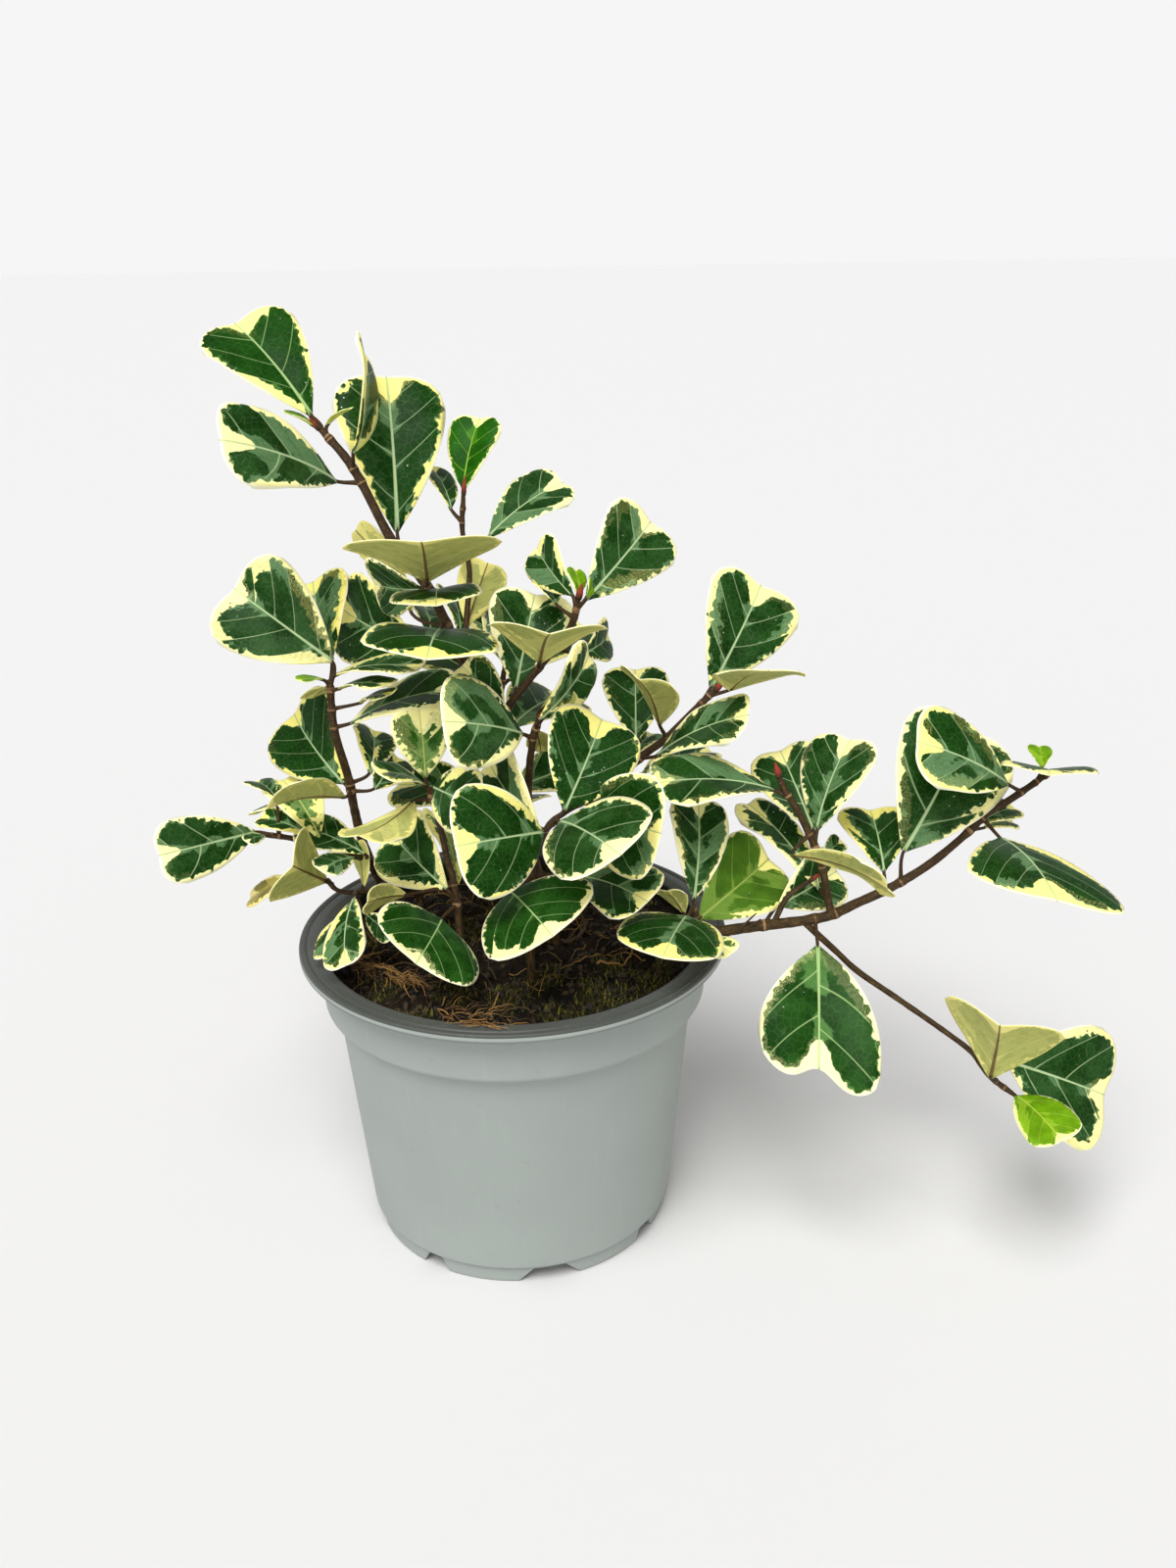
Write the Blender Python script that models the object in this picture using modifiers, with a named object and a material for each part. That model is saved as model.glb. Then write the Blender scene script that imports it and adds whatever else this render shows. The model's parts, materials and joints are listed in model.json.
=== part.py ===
"""Potted triangle fig: a variegated Ficus triangularis in a 17 cm nursery pot.

The pot and the root ball are turned solids.  Every leafy stem is one solid: a main stem and its side
shoots, with a stalk and a notched, triangular blade for each leaf, all joined by a Boolean union.
Units are metres, +Z is up.  Tables give plant measures in millimetres and degrees, from the pot's axis
at the level of its feet.  The finished nodes are then moved together, so that the origin lies in the
middle of the object's base, under the centre of its bounding box.
"""
from math import cos, exp, radians, sin, sqrt, tau
from typing import NamedTuple

import bmesh
import bpy
from mathutils import Matrix, Vector

MM = 0.001
GAP = 0.3 * MM
MERGE_DISTANCE = 0.00001

# Pot
POT_RIM_RADIUS = 85.0
POT_HEIGHT = 125.0
POT_COLLAR_RADIUS = 76.5
POT_BODY_TOP_RADIUS = 71.5
POT_BASE_RADIUS = 62.5
POT_COLLAR_STEP_HEIGHT = 98.2
POT_WALL = 1.5
POT_LIP = 3.6
POT_FOOT_HEIGHT = 6.8
POT_FOOT_RADIUS = 61.8
POT_STEPS = 40
WIDE_FOOT_GAPS = 4
WIDE_GAP_ANGLE = 22.0
NARROW_GAP_ANGLE = 5.0
FOOT_GAP_TURN = -81.0
DRAIN_HOLES = 6
DRAIN_HOLE_RADIUS = 4.5
DRAIN_CIRCLE_RADIUS = 44.0
POT_FLOOR = 2.0
COLLAR_SLOPE = 3.8

# Soil
SOIL_TOP = 117.0
SOIL_LUMP = 1.6
SOIL_STEPS = 30
STEM_HOLE_CUTTER = 30.0

# Leaves
BLADE_THICKNESS = 0.7
BLADE_ARCH = 0.07
STALK_HALF_WIDTH = 0.8
STALK_AIM = 8.0
STALK_STOP = 0.8
SMALL_LEAF = 21.0
LARGE_LEAF = 31.0

POT_COLOUR = (0.40, 0.44, 0.42, 1.0)
SOIL_COLOUR = (0.035, 0.022, 0.014, 1.0)
LEAF_COLOUR = (0.045, 0.13, 0.03, 1.0)


class Shoot(NamedTuple):
    """A stem or side shoot: its points from root to tip, and its radius at both ends."""

    points: tuple
    root_radius: float
    tip_radius: float


class Leaf(NamedTuple):
    """A leaf: where its blade starts, where its midrib points, and how the blade lies.

    heading turns from +X towards +Y, rise is above the horizontal, roll turns the blade clockwise about
    its midrib, seen from its base, and fold lifts both halves of the blade from the midrib.  skew lengthens
    one half, notch is the notch's depth as a share of the length, and belly rounds the sides out.
    """

    x: float
    y: float
    z: float
    heading: float
    rise: float
    roll: float
    length: float
    width: float
    fold: float = 10.0
    skew: float = 0.0
    notch: float = 0.035
    belly: float = 0.3


TALL_SHOOTS = (
    Shoot(((10, 4, 104), (10, 4, 122), (4, 2, 173), (-1, 3, 201), (-11, 5, 224), (-16, 6, 235), (-25, 7, 258),
           (-31, 7, 268), (-40, 8, 281), (-52, 11, 306), (-63, 14, 320)), 2.8, 1.5),
    Shoot(((-11, 6, 224), (-13, 12, 233), (-14, 19, 244), (-12, 24, 264), (-14, 25, 280), (-13, 26, 293)), 1.3, 0.9),
)
TALL_LEAVES = (
    Leaf(-66, 14, 325, 140, 40, -25, 48, 39, belly=0.1),
    Leaf(-58, 8, 302, -134, 22, -56, 53, 34),
    Leaf(-65, 14, 321, 180, 25, 0, 12, 9),
    Leaf(-61, 14, 321, -20, 30, 0, 12, 9),
    Leaf(-51, 6, 312, 85, 50, 88, 45, 32),
    Leaf(-38, 16, 282, 95, 62, 8, 59, 44, notch=0.0, belly=0.1),
    Leaf(-27, 0, 267, -89, 30, 0, 42, 56, 5),
    Leaf(-30, 12, 261, 148, 0, -112, 22, 28),
    Leaf(-23, 0, 263, -90, 0, 5, 26, 34),
    Leaf(-23, 0, 248, -95, 0, -5, 42, 50),
    Leaf(-32, 18, 236, 138, 13, -80, 44, 38),
    Leaf(-34, 16, 250, 145, 50, 75, 40, 20),
    Leaf(-28, 20, 240, 100, 15, 35, 28, 24),
    Leaf(-13, 26, 295, 60, 60, 5, 29, 22),
    Leaf(-18, 26, 288, 115, 35, 25, 24, 18),
    Leaf(-4, 22, 278, 20, 30, 25, 36, 28),
    Leaf(-14, 26, 243, 45, 60, -130, 26, 20),
    Leaf(-17, 28, 239, 100, 25, 40, 26, 20),
    Leaf(-7, 24, 236, 85, 15, 55, 30, 24),
)

FORK_SHOOTS = (
    Shoot(((16, -6, 104), (16, -6, 122), (4, -8, 180), (-1, -8, 205), (0, -6, 217), (9, -5, 229), (14, -5, 235),
           (25, -4, 249), (28, -4, 259)), 2.2, 1.2),
)
FORK_LEAVES = (
    Leaf(26, -2, 260, 125, 35, -75, 26, 20),
    Leaf(20, 2, 256, 110, 20, 15, 14, 12),
    Leaf(28, -4, 260, 95, 45, 30, 12, 9),
    Leaf(31, -6, 260, 65, 40, 75, 8, 6),
    Leaf(31, -4, 259, 40, 35, 60, 42, 34, belly=0.0),
    Leaf(4, -2, 225, 70, 50, 20, 40, 34),
    Leaf(13, -12, 238, -85, 30, -5, 38, 44, 15),
    Leaf(30, 4, 236, 60, 5, 80, 22, 18),
    Leaf(-1, -8, 215, 178, 55, -50, 26, 20),
)

MIDDLE_SHOOTS = (
    Shoot(((6, -18, 104), (6, -18, 122), (7, -14, 179), (8, -16, 198), (9, -17, 206), (10, -18, 212),
           (12, -18, 217)), 2.0, 1.3),
)
MIDDLE_LEAVES = (
    Leaf(12, -22, 219, 52, 27, 85, 37, 22),
    Leaf(13, -13, 220, 15, 27, -150, 14, 12),
    Leaf(11, -16, 213, 80, -50, 0, 16, 11),
    Leaf(6, -20, 213, -140, 20, -60, 40, 36),
)

RIGHT_SHOOTS = (
    Shoot(((28, 16, 104), (28, 16, 122), (32, 18, 158), (41, 18, 175), (52, 17, 188), (62, 16, 196), (67, 16, 201),
           (72, 16, 206), (82, 16, 216)), 2.3, 1.3),
)
RIGHT_LEAVES = (
    Leaf(51, 16, 196, 85, 42, 0, 34, 28),
    Leaf(60, 12, 204, -120, 50, -15, 32, 28, 20),
    Leaf(81, 18, 217, 44, 48, 50, 48, 42, belly=0.1),
    Leaf(88, 14, 217, -69, 28, -8, 32, 38, 0),
    Leaf(59, 10, 192, -30, 30, 30, 44, 28),
    Leaf(54, 20, 181, 25, 5, 0, 34, 24),
    Leaf(50, 20, 187, 60, 15, 5, 20, 14),
)

TWIG_SHOOTS = (
    Shoot(((6, -36, 104), (6, -36, 122), (7, -35, 160), (13, -34, 180), (20, -32, 186), (29, -30, 190)), 1.7, 1.0),
)
TWIG_LEAVES = (
    Leaf(20, -34, 188, 52, 48, 45, 38, 37, belly=0.6),
    Leaf(29, -24, 186, -52, 0, 75, 40, 40, belly=0.4),
    Leaf(18, -40, 186, -61, 1, 25, 40, 42, belly=0.6),
    Leaf(12, -42, 183, -143, 8, -63, 40, 42, belly=0.5),
    Leaf(10, -37, 183, 125, 30, -70, 34, 26),
    Leaf(27, -28, 158, -46, -1, 20, 32, 30, belly=0.5),
    Leaf(-1, -42, 160, -65, -6, 25, 35, 46, belly=0.4),
)

FRONT_SHOOTS = (
    Shoot(((-20, -24, 104), (-20, -24, 122), (-22, -18, 151), (-24, -16, 161), (-27, -14, 178), (-30, -14, 191)),
          1.7, 1.1),
)
FRONT_LEAVES = (
    Leaf(-27, -30, 144, -106, -6, -38, 31, 44, belly=0.7),
    Leaf(-25, -20, 152, 130, 22, -60, 36, 32),
    Leaf(-21, -14, 150, 108, 33, 35, 36, 20),
    Leaf(-40, -22, 151, -135, 11, 70, 20, 14),
    Leaf(-28, -16, 192, -60, 5, 60, 34, 26),
    Leaf(-36, -12, 185, -125, -4, -175, 33, 28, belly=0.5),
    Leaf(-31, -16, 193, -150, 25, -10, 22, 18),
    Leaf(-31, -14, 195, 100, 75, 0, 26, 24),
)

LEFT_SHOOTS = (
    Shoot(((-50, 34, 104), (-50, 34, 122), (-56, 28, 138), (-60, 22, 155), (-62, 18, 172), (-63, 16, 185),
           (-66, 14, 201), (-67, 14, 210), (-67, 14, 226)), 2.3, 1.4),
)
LEFT_LEAVES = (
    Leaf(-65, 12, 234, 163, 35, -65, 47, 42),
    Leaf(-66, 18, 234, 105, 32, -30, 42, 32),
    Leaf(-65, 14, 228, -18, 7, 5, 36, 22),
    Leaf(-64, 12, 223, -35, 10, 0, 26, 18),
    Leaf(-56, 12, 217, -45, 20, 10, 20, 12),
    Leaf(-60, 12, 209, -3, 17, 12, 44, 34),
    Leaf(-69, 12, 227, -140, 7, 0, 11, 10),
    Leaf(-67, 16, 223, 130, -30, 0, 16, 14),
    Leaf(-65, 16, 183, 126, 29, -60, 42, 40),
    Leaf(-55, 20, 185, 90, 17, 30, 30, 20),
    Leaf(-53, 16, 180, 70, 13, 40, 24, 20),
    Leaf(-64, 8, 180, -136, 9, 35, 38, 34, 15),
)

LOW_SHOOTS = (
    Shoot(((-40, 40, 104), (-40, 40, 122), (-48, 28, 138), (-56, 16, 149), (-65, 12, 154), (-76, 11, 159),
           (-84, 10, 162), (-93, 10, 164), (-101, 10, 165)), 1.7, 1.0),
    Shoot(((-48, 28, 138), (-55, 8, 140), (-62, -1, 143), (-69, 0, 144), (-73, 2, 148)), 1.2, 0.9),
)
LOW_LEAVES = (
    Leaf(-100, 10, 166, -141, 3, -65, 42, 26),
    Leaf(-96, 8, 165, -130, 3, -15, 10, 8),
    Leaf(-93, 18, 178, 126, 5, 5, 16, 14),
    Leaf(-75, 6, 164, 122, 26, 0, 35, 24),
    Leaf(-58, 5, 157, 165, 20, -25, 28, 20),
    Leaf(-62, 4, 156, -124, 5, -20, 20, 14),
    Leaf(-80, 8, 165, 153, 11, -20, 22, 13),
    Leaf(-73, 0, 148, -111, 35, 75, 30, 34, 20),
    Leaf(-84, 6, 146, 160, -25, -25, 26, 14),
    Leaf(-59, 4, 142, 105, 45, 110, 20, 14),
    Leaf(-61, -12, 146, -92, -20, 30, 36, 20),
    Leaf(-63, -8, 140, -103, -15, 35, 28, 20),
    Leaf(-57, -14, 140, -50, -12, 45, 18, 10),
)

LONG_SHOOTS = (
    Shoot(((48, -8, 104), (48, -8, 121), (58, -16, 126), (70, -23, 130), (80, -26, 132), (94, -25, 133),
           (112, -24, 134), (123, -24, 136), (133, -23, 140), (147, -22, 146), (162, -21, 155), (176, -20, 167),
           (183, -19, 174), (192, -18, 179), (205, -16, 187)), 2.6, 1.3),
    Shoot(((74, -25, 131), (70, -30, 139), (68, -30, 145)), 1.4, 1.2),
    Shoot(((112, -24, 134), (124, -28, 123), (133, -32, 115), (148, -40, 106), (164, -48, 96), (173, -54, 90),
           (179, -58, 82), (189, -60, 74)), 1.3, 1.0),
    Shoot(((123, -24, 136), (120, -22, 152), (117, -20, 162), (110, -17, 177), (105, -15, 185), (103, -14, 190)),
          1.5, 1.3),
    Shoot(((100, -25, 133), (106, -23, 144), (115, -20, 149)), 1.2, 0.9),
)
LONG_LEAVES = (
    Leaf(69, -26, 146, 80, 44, 25, 42, 26),
    Leaf(71, -28, 139, 38, 18, 50, 42, 36),
    Leaf(65, -38, 145, -113, -3, -5, 33, 40, belly=0.6),
    Leaf(71, -36, 133, -64, 10, 20, 20, 12),
    Leaf(65, -30, 142, -142, 53, 25, 16, 12),
    Leaf(101, -14, 185, -172, 8, -15, 48, 34),
    Leaf(117, -14, 168, 106, 37, -25, 38, 30),
    Leaf(118, -16, 169, 45, 55, -5, 38, 34),
    Leaf(120, -16, 143, 121, 27, 0, 50, 22),
    Leaf(103, -20, 139, 31, 12, 60, 32, 26),
    Leaf(121, -12, 155, 43, 12, 40, 14, 9),
    Leaf(107, -24, 162, -50, 0, -50, 44, 22),
    Leaf(144, -20, 152, 87, 23, 0, 34, 30),
    Leaf(150, -24, 162, 40, 46, 45, 56, 50),
    Leaf(189, -22, 187, -168, 28, -48, 46, 36),
    Leaf(206, -16, 188, -110, 19, 0, 30, 36),
    Leaf(205, -14, 190, 80, 26, 5, 12, 10),
    Leaf(188, -22, 165, -82, -8, -11, 46, 56, 0, -0.2),
    Leaf(182, -16, 169, 32, 4, 20, 20, 14),
    Leaf(184, -14, 166, 30, -7, 20, 18, 10),
    Leaf(116, -34, 128, -99, -46, 0, 54, 46, 10, -0.12, 0.14, 0.7),
    Leaf(178, -62, 84, -107, 61, -15, 38, 48, 20, belly=0.1),
    Leaf(187, -55, 86, 4, -25, 60, 46, 50, belly=0.5),
    Leaf(188, -63, 76, -70, -9, 10, 27, 24, belly=0.5),
)

REAR_SHOOTS = (
    Shoot(((-6, 40, 104), (-6, 40, 122), (-6, 46, 150), (-4, 54, 190), (0, 58, 216)), 1.9, 1.1),
)
REAR_LEAVES = (
    Leaf(0, 61, 218, 95, 30, 0, 42, 36),
    Leaf(4, 60, 212, 30, 20, 10, 40, 34),
    Leaf(-7, 58, 208, 150, 20, -10, 42, 36),
    Leaf(2, 58, 190, 60, 0, 15, 46, 40),
    Leaf(-9, 57, 184, 125, 0, -15, 46, 40),
    Leaf(2, 50, 164, 25, 5, 20, 44, 38),
    Leaf(-11, 50, 160, 160, 5, -20, 40, 34),
    Leaf(-4, 52, 150, 85, -10, 0, 46, 42),
)

LEAFY_STEMS = {
    "tall_leafy_stem": (TALL_SHOOTS, TALL_LEAVES),
    "forked_leafy_stem": (FORK_SHOOTS, FORK_LEAVES),
    "middle_leafy_stem": (MIDDLE_SHOOTS, MIDDLE_LEAVES),
    "right_leafy_stem": (RIGHT_SHOOTS, RIGHT_LEAVES),
    "twig_leafy_stem": (TWIG_SHOOTS, TWIG_LEAVES),
    "front_leafy_stem": (FRONT_SHOOTS, FRONT_LEAVES),
    "left_leafy_stem": (LEFT_SHOOTS, LEFT_LEAVES),
    "low_leafy_stem": (LOW_SHOOTS, LOW_LEAVES),
    "long_leafy_stem": (LONG_SHOOTS, LONG_LEAVES),
    "rear_leafy_stem": (REAR_SHOOTS, REAR_LEAVES),
}


def clear_scene():
    """Remove every object that the scene holds."""
    for item in list(bpy.data.objects):
        bpy.data.objects.remove(item, do_unlink=True)


def new_collection(name):
    """Make a collection in the scene."""
    group = bpy.data.collections.new(name)
    bpy.context.scene.collection.children.link(group)
    return group


def new_material(name, colour, roughness):
    """Make a plain surface finish."""
    material = bpy.data.materials.new(name)
    material.use_nodes = True
    shader = material.node_tree.nodes["Principled BSDF"]
    shader.inputs["Base Color"].default_value = colour
    shader.inputs["Roughness"].default_value = roughness
    shader.inputs["Metallic"].default_value = 0.0
    return material


def mesh_object(name, mesh, group):
    """Put a mesh in the scene as an object."""
    item = bpy.data.objects.new(name, mesh)
    group.objects.link(item)
    return item


def bake_modifiers(item):
    """Replace an object's mesh by its evaluated mesh and drop the modifiers."""
    depsgraph = bpy.context.evaluated_depsgraph_get()
    mesh = bpy.data.meshes.new_from_object(item.evaluated_get(depsgraph))
    item.modifiers.clear()
    item.data = mesh


def boolean(item, operation, group, solver="EXACT"):
    """Join a collection's objects to an object, or cut them from it."""
    modifier = item.modifiers.new(operation.title(), "BOOLEAN")
    modifier.operation = operation
    modifier.operand_type = "COLLECTION"
    modifier.collection = group
    modifier.solver = solver


def turned(name, profile, steps, group):
    """Turn a profile of (radius, height) points in millimetres about the Z axis."""
    mesh = bpy.data.meshes.new(name)
    points = [(radius * MM, 0.0, height * MM) for radius, height in profile]
    edges = [(index, index + 1) for index in range(len(points) - 1)]
    mesh.from_pydata(points, edges, [])
    item = mesh_object(name, mesh, group)
    screw = item.modifiers.new("Turn", "SCREW")
    screw.steps = steps
    screw.render_steps = steps
    screw.use_merge_vertices = True
    screw.merge_threshold = MERGE_DISTANCE
    bake_modifiers(item)
    item.data.shade_smooth()
    item.data.set_sharp_from_angle(angle=radians(35))
    return item


def pot_profile():
    """Points of the pot's half section, from the inner floor over the rim to the outer floor."""
    inner_collar = POT_COLLAR_RADIUS - POT_WALL
    return [
        (0.0, POT_FOOT_HEIGHT + POT_FLOOR),
        (POT_BASE_RADIUS - POT_WALL - 1.0, POT_FOOT_HEIGHT + POT_FLOOR),
        (POT_BASE_RADIUS - POT_WALL, POT_FOOT_HEIGHT + 3.2),
        (POT_BODY_TOP_RADIUS - POT_WALL, POT_COLLAR_STEP_HEIGHT - 0.4),
        (POT_COLLAR_RADIUS - COLLAR_SLOPE - POT_WALL, POT_COLLAR_STEP_HEIGHT + 1.0),
        (inner_collar - 0.6, POT_COLLAR_STEP_HEIGHT + 4.0),
        (inner_collar, POT_HEIGHT - 1.5),
        (inner_collar + 3.0, POT_HEIGHT),
        (POT_RIM_RADIUS - 1.0, POT_HEIGHT),
        (POT_RIM_RADIUS, POT_HEIGHT - 1.0),
        (POT_RIM_RADIUS, POT_HEIGHT - POT_LIP),
        (POT_RIM_RADIUS - 1.4, POT_HEIGHT - POT_LIP),
        (POT_RIM_RADIUS - 2.0, POT_HEIGHT - 2.4),
        (POT_COLLAR_RADIUS + 0.6, POT_HEIGHT - 2.6),
        (POT_COLLAR_RADIUS, POT_HEIGHT - 4.0),
        (POT_COLLAR_RADIUS, POT_COLLAR_STEP_HEIGHT + 5.0),
        (POT_COLLAR_RADIUS - 1.0, POT_COLLAR_STEP_HEIGHT + 2.4),
        (POT_COLLAR_RADIUS - 3.6, POT_COLLAR_STEP_HEIGHT + 0.6),
        (POT_BODY_TOP_RADIUS, POT_COLLAR_STEP_HEIGHT),
        (POT_BASE_RADIUS + 0.3, POT_FOOT_HEIGHT + 1.4),
        (POT_BASE_RADIUS - 0.4, POT_FOOT_HEIGHT),
        (POT_FOOT_RADIUS, POT_FOOT_HEIGHT),
        (POT_FOOT_RADIUS - 0.8, 0.0),
        (POT_FOOT_RADIUS - 3.2, 0.0),
        (POT_FOOT_RADIUS - 3.2, POT_FOOT_HEIGHT),
        (0.0, POT_FOOT_HEIGHT),
    ]


def foot_gap_cutter(turn, width, group):
    """A wedge that opens the foot ring, wider at the floor than at its top."""
    mesh = bpy.data.meshes.new("foot_gap")
    shape = bmesh.new()
    bmesh.ops.create_cube(shape, size=1.0)
    span = radians(width) * POT_FOOT_RADIUS
    for vertex in shape.verts:
        flare = 1.0 if vertex.co.z < 0.0 else 0.72
        height = -1.0 if vertex.co.z < 0.0 else POT_FOOT_HEIGHT - 1.0
        reach = POT_FOOT_RADIUS + (2.5 if vertex.co.x > 0.0 else -6.0)
        vertex.co = Vector((reach, vertex.co.y * span * flare, height)) * MM
    shape.to_mesh(mesh)
    shape.free()
    cutter = mesh_object("foot_gap", mesh, group)
    cutter.rotation_euler.z = radians(turn)


def drain_cutter(turn, group):
    """A round drain hole through the pot's floor."""
    mesh = bpy.data.meshes.new("drain_hole")
    shape = bmesh.new()
    bmesh.ops.create_cone(shape, cap_ends=True, segments=12, radius1=DRAIN_HOLE_RADIUS * MM,
                          radius2=DRAIN_HOLE_RADIUS * MM, depth=3.0 * POT_FLOOR * MM)
    shape.to_mesh(mesh)
    shape.free()
    cutter = mesh_object("drain_hole", mesh, group)
    centre = (DRAIN_CIRCLE_RADIUS * cos(turn), DRAIN_CIRCLE_RADIUS * sin(turn), POT_FOOT_HEIGHT + 1.0)
    cutter.location = Vector(centre) * MM


def make_pot(group, cutters):
    """The nursery pot: a turned shell with gaps in its foot ring and drain holes in its floor."""
    pot = turned("nursery_pot", pot_profile(), POT_STEPS, group)
    for index in range(WIDE_FOOT_GAPS):
        turn = FOOT_GAP_TURN + index * 360.0 / WIDE_FOOT_GAPS
        foot_gap_cutter(turn, WIDE_GAP_ANGLE, cutters)
        foot_gap_cutter(turn + 180.0 / WIDE_FOOT_GAPS, NARROW_GAP_ANGLE, cutters)
    for index in range(DRAIN_HOLES):
        drain_cutter(index * tau / DRAIN_HOLES, cutters)
    boolean(pot, "DIFFERENCE", cutters)
    bake_modifiers(pot)
    remove_cutters(cutters)
    pot.data.materials.append(new_material("pot_plastic", POT_COLOUR, 0.45))


def soil_lump(x, y):
    """Height of the lumps on the soil, in millimetres: three crossed waves that die out at the wall."""
    edge = max(0.0, 1.0 - (sqrt(x * x + y * y) / 70.0) ** 4)
    waves = sin(x / 7.0 + 1.3) * cos(y / 8.5) + 0.6 * sin((x + y) / 4.6) + 0.5 * cos((x - 2.0 * y) / 6.3)
    return SOIL_LUMP * waves * edge


def make_soil(group, cutters):
    """The root ball: a turned solid with a lumpy top and a plain hole for each stem."""
    body = POT_BODY_TOP_RADIUS - POT_WALL
    base = POT_BASE_RADIUS - POT_WALL
    clear = GAP / MM + 0.15
    profile = [
        (0.0, SOIL_TOP + 1.5),
        (18.0, SOIL_TOP + 1.5),
        (34.0, SOIL_TOP + 1.0),
        (50.0, SOIL_TOP + 0.5),
        (63.0, SOIL_TOP),
        (POT_COLLAR_RADIUS - POT_WALL - 1.2, SOIL_TOP - 1.5),
        (POT_COLLAR_RADIUS - POT_WALL - 1.3, POT_COLLAR_STEP_HEIGHT + 5.0),
        (POT_COLLAR_RADIUS - COLLAR_SLOPE - POT_WALL - 1.0, POT_COLLAR_STEP_HEIGHT + 1.6),
        (body - clear, POT_COLLAR_STEP_HEIGHT),
        (base - clear, POT_FOOT_HEIGHT + 4.0),
        (base - 1.5, POT_FOOT_HEIGHT + POT_FLOOR + GAP / MM),
        (0.0, POT_FOOT_HEIGHT + POT_FLOOR + GAP / MM),
    ]
    soil = turned("soil", profile, SOIL_STEPS, group)
    for vertex in soil.data.vertices:
        place = vertex.co / MM
        if place.z > SOIL_TOP - 1.0:
            vertex.co.z += soil_lump(place.x, place.y) * MM
    for shoots, leaves in LEAFY_STEMS.values():
        stem_hole_cutter(shoots[0], cutters)
    boolean(soil, "DIFFERENCE", cutters)
    bake_modifiers(soil)
    remove_cutters(cutters)
    soil.data.materials.append(new_material("potting_soil", SOIL_COLOUR, 0.95))


def stem_hole_cutter(shoot, group):
    """A plain round hole for a stem's sunk end."""
    mesh = bpy.data.meshes.new("stem_hole")
    shape = bmesh.new()
    radius = shoot.root_radius * MM + 2.0 * GAP
    foot = Vector(shoot.points[0]) * MM - Vector((0.0, 0.0, GAP))
    depth = STEM_HOLE_CUTTER * MM
    bmesh.ops.create_cone(shape, cap_ends=True, segments=12, radius1=radius, radius2=radius, depth=depth)
    shape.to_mesh(mesh)
    shape.free()
    cutter = mesh_object("stem_hole", mesh, group)
    cutter.location = foot + Vector((0.0, 0.0, depth / 2.0))


def tube(name, points, radii, resolution, group):
    """A tapered round tube along points in millimetres, as a closed mesh."""
    curve = bpy.data.curves.new(name, "CURVE")
    curve.dimensions = "3D"
    curve.bevel_depth = MM
    curve.bevel_resolution = resolution
    curve.use_fill_caps = True
    spline = curve.splines.new("POLY")
    spline.points.add(len(points) - 1)
    for point, place, radius in zip(spline.points, points, radii):
        point.co = (place[0] * MM, place[1] * MM, place[2] * MM, 1.0)
        point.radius = radius
    item = bpy.data.objects.new(name, curve)
    group.objects.link(item)
    depsgraph = bpy.context.evaluated_depsgraph_get()
    depsgraph.update()
    mesh = bpy.data.meshes.new_from_object(item.evaluated_get(depsgraph))
    bpy.data.objects.remove(item)
    shape = bmesh.new()
    shape.from_mesh(mesh)
    bmesh.ops.remove_doubles(shape, verts=shape.verts, dist=MERGE_DISTANCE)
    bmesh.ops.recalc_face_normals(shape, faces=shape.faces)
    shape.to_mesh(mesh)
    shape.free()
    return mesh_object(name, mesh, group)


def shoot_tube(name, shoot, group):
    """A stem or side shoot whose radius falls evenly from its root to its tip."""
    last = len(shoot.points) - 1
    taper = (shoot.tip_radius - shoot.root_radius) / last
    radii = [shoot.root_radius + taper * index for index in range(last + 1)]
    radii[1] = shoot.root_radius
    return tube(name, shoot.points, radii, 1, group)


def leaf_frame(leaf):
    """The blade's base, and its directions along the midrib, across it and out of its upper face."""
    heading, rise, roll = radians(leaf.heading), radians(leaf.rise), radians(leaf.roll)
    along = Vector((cos(heading) * cos(rise), sin(heading) * cos(rise), sin(rise)))
    level = Vector((sin(heading), -cos(heading), 0.0))
    upper = level.cross(along)
    across = level * cos(roll) - upper * sin(roll)
    upward = upper * cos(roll) + level * sin(roll)
    return Vector((leaf.x, leaf.y, leaf.z)), along, across, upward


def nearest_on_shoots(place, shoots):
    """The point of the stem and its side shoots that is nearest to a place, but on no stretch's end."""
    best = None
    for shoot in shoots:
        for start, end in zip(shoot.points[1:], shoot.points[2:]):
            start, end = Vector(start), Vector(end)
            step = end - start
            part = min(STALK_STOP, max(0.0, (place - start).dot(step) / step.length_squared))
            found = start + step * part
            if best is None or (found - place).length < (best - place).length:
                best = found
    return best


def blade_point(leaf, frame, side, along_part):
    """A point of the blade's middle surface.

    side runs from -1 to 1 across the blade and along_part from 0 to 1 along it.  The half width grows as
    0.03 + (1.75 + b) s - (0.76 + 1.14 b) s squared, where s is 0.88 of along_part and b is the belly.  The top edge is nearly flat between two
    round lobes, with a notch at the midrib.
    """
    base, along, across, upward = frame
    shoulder = 0.88 * along_part
    half_width = 0.5 * leaf.width * (0.03 + (1.75 + leaf.belly) * shoulder
                                     - (0.76 + 1.14 * leaf.belly) * shoulder * shoulder)
    top = 0.80 + 0.22 * sqrt(1.0 - abs(side) ** 3) - leaf.notch * exp(-(side / 0.35) ** 2)
    reach = leaf.length * along_part * (top + leaf.skew * side * along_part)
    spread = side * half_width
    fold = radians(leaf.fold)
    arch = BLADE_ARCH * leaf.length * 4.0 * along_part * (1.0 - along_part)
    lift = abs(spread) * sin(fold) + arch
    return base + along * reach + across * (spread * cos(fold)) + upward * lift


def stalk_edge(frame, root):
    """From the middle of the flat leaf stalk to its edge: square to the stalk and near the blade's width."""
    base, along, across, upward = frame
    run = (base - root).normalized()
    edge = across - run * across.dot(run)
    if edge.length < 0.5:
        edge = along - run * along.dot(run)
    return edge.normalized() * STALK_HALF_WIDTH


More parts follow.
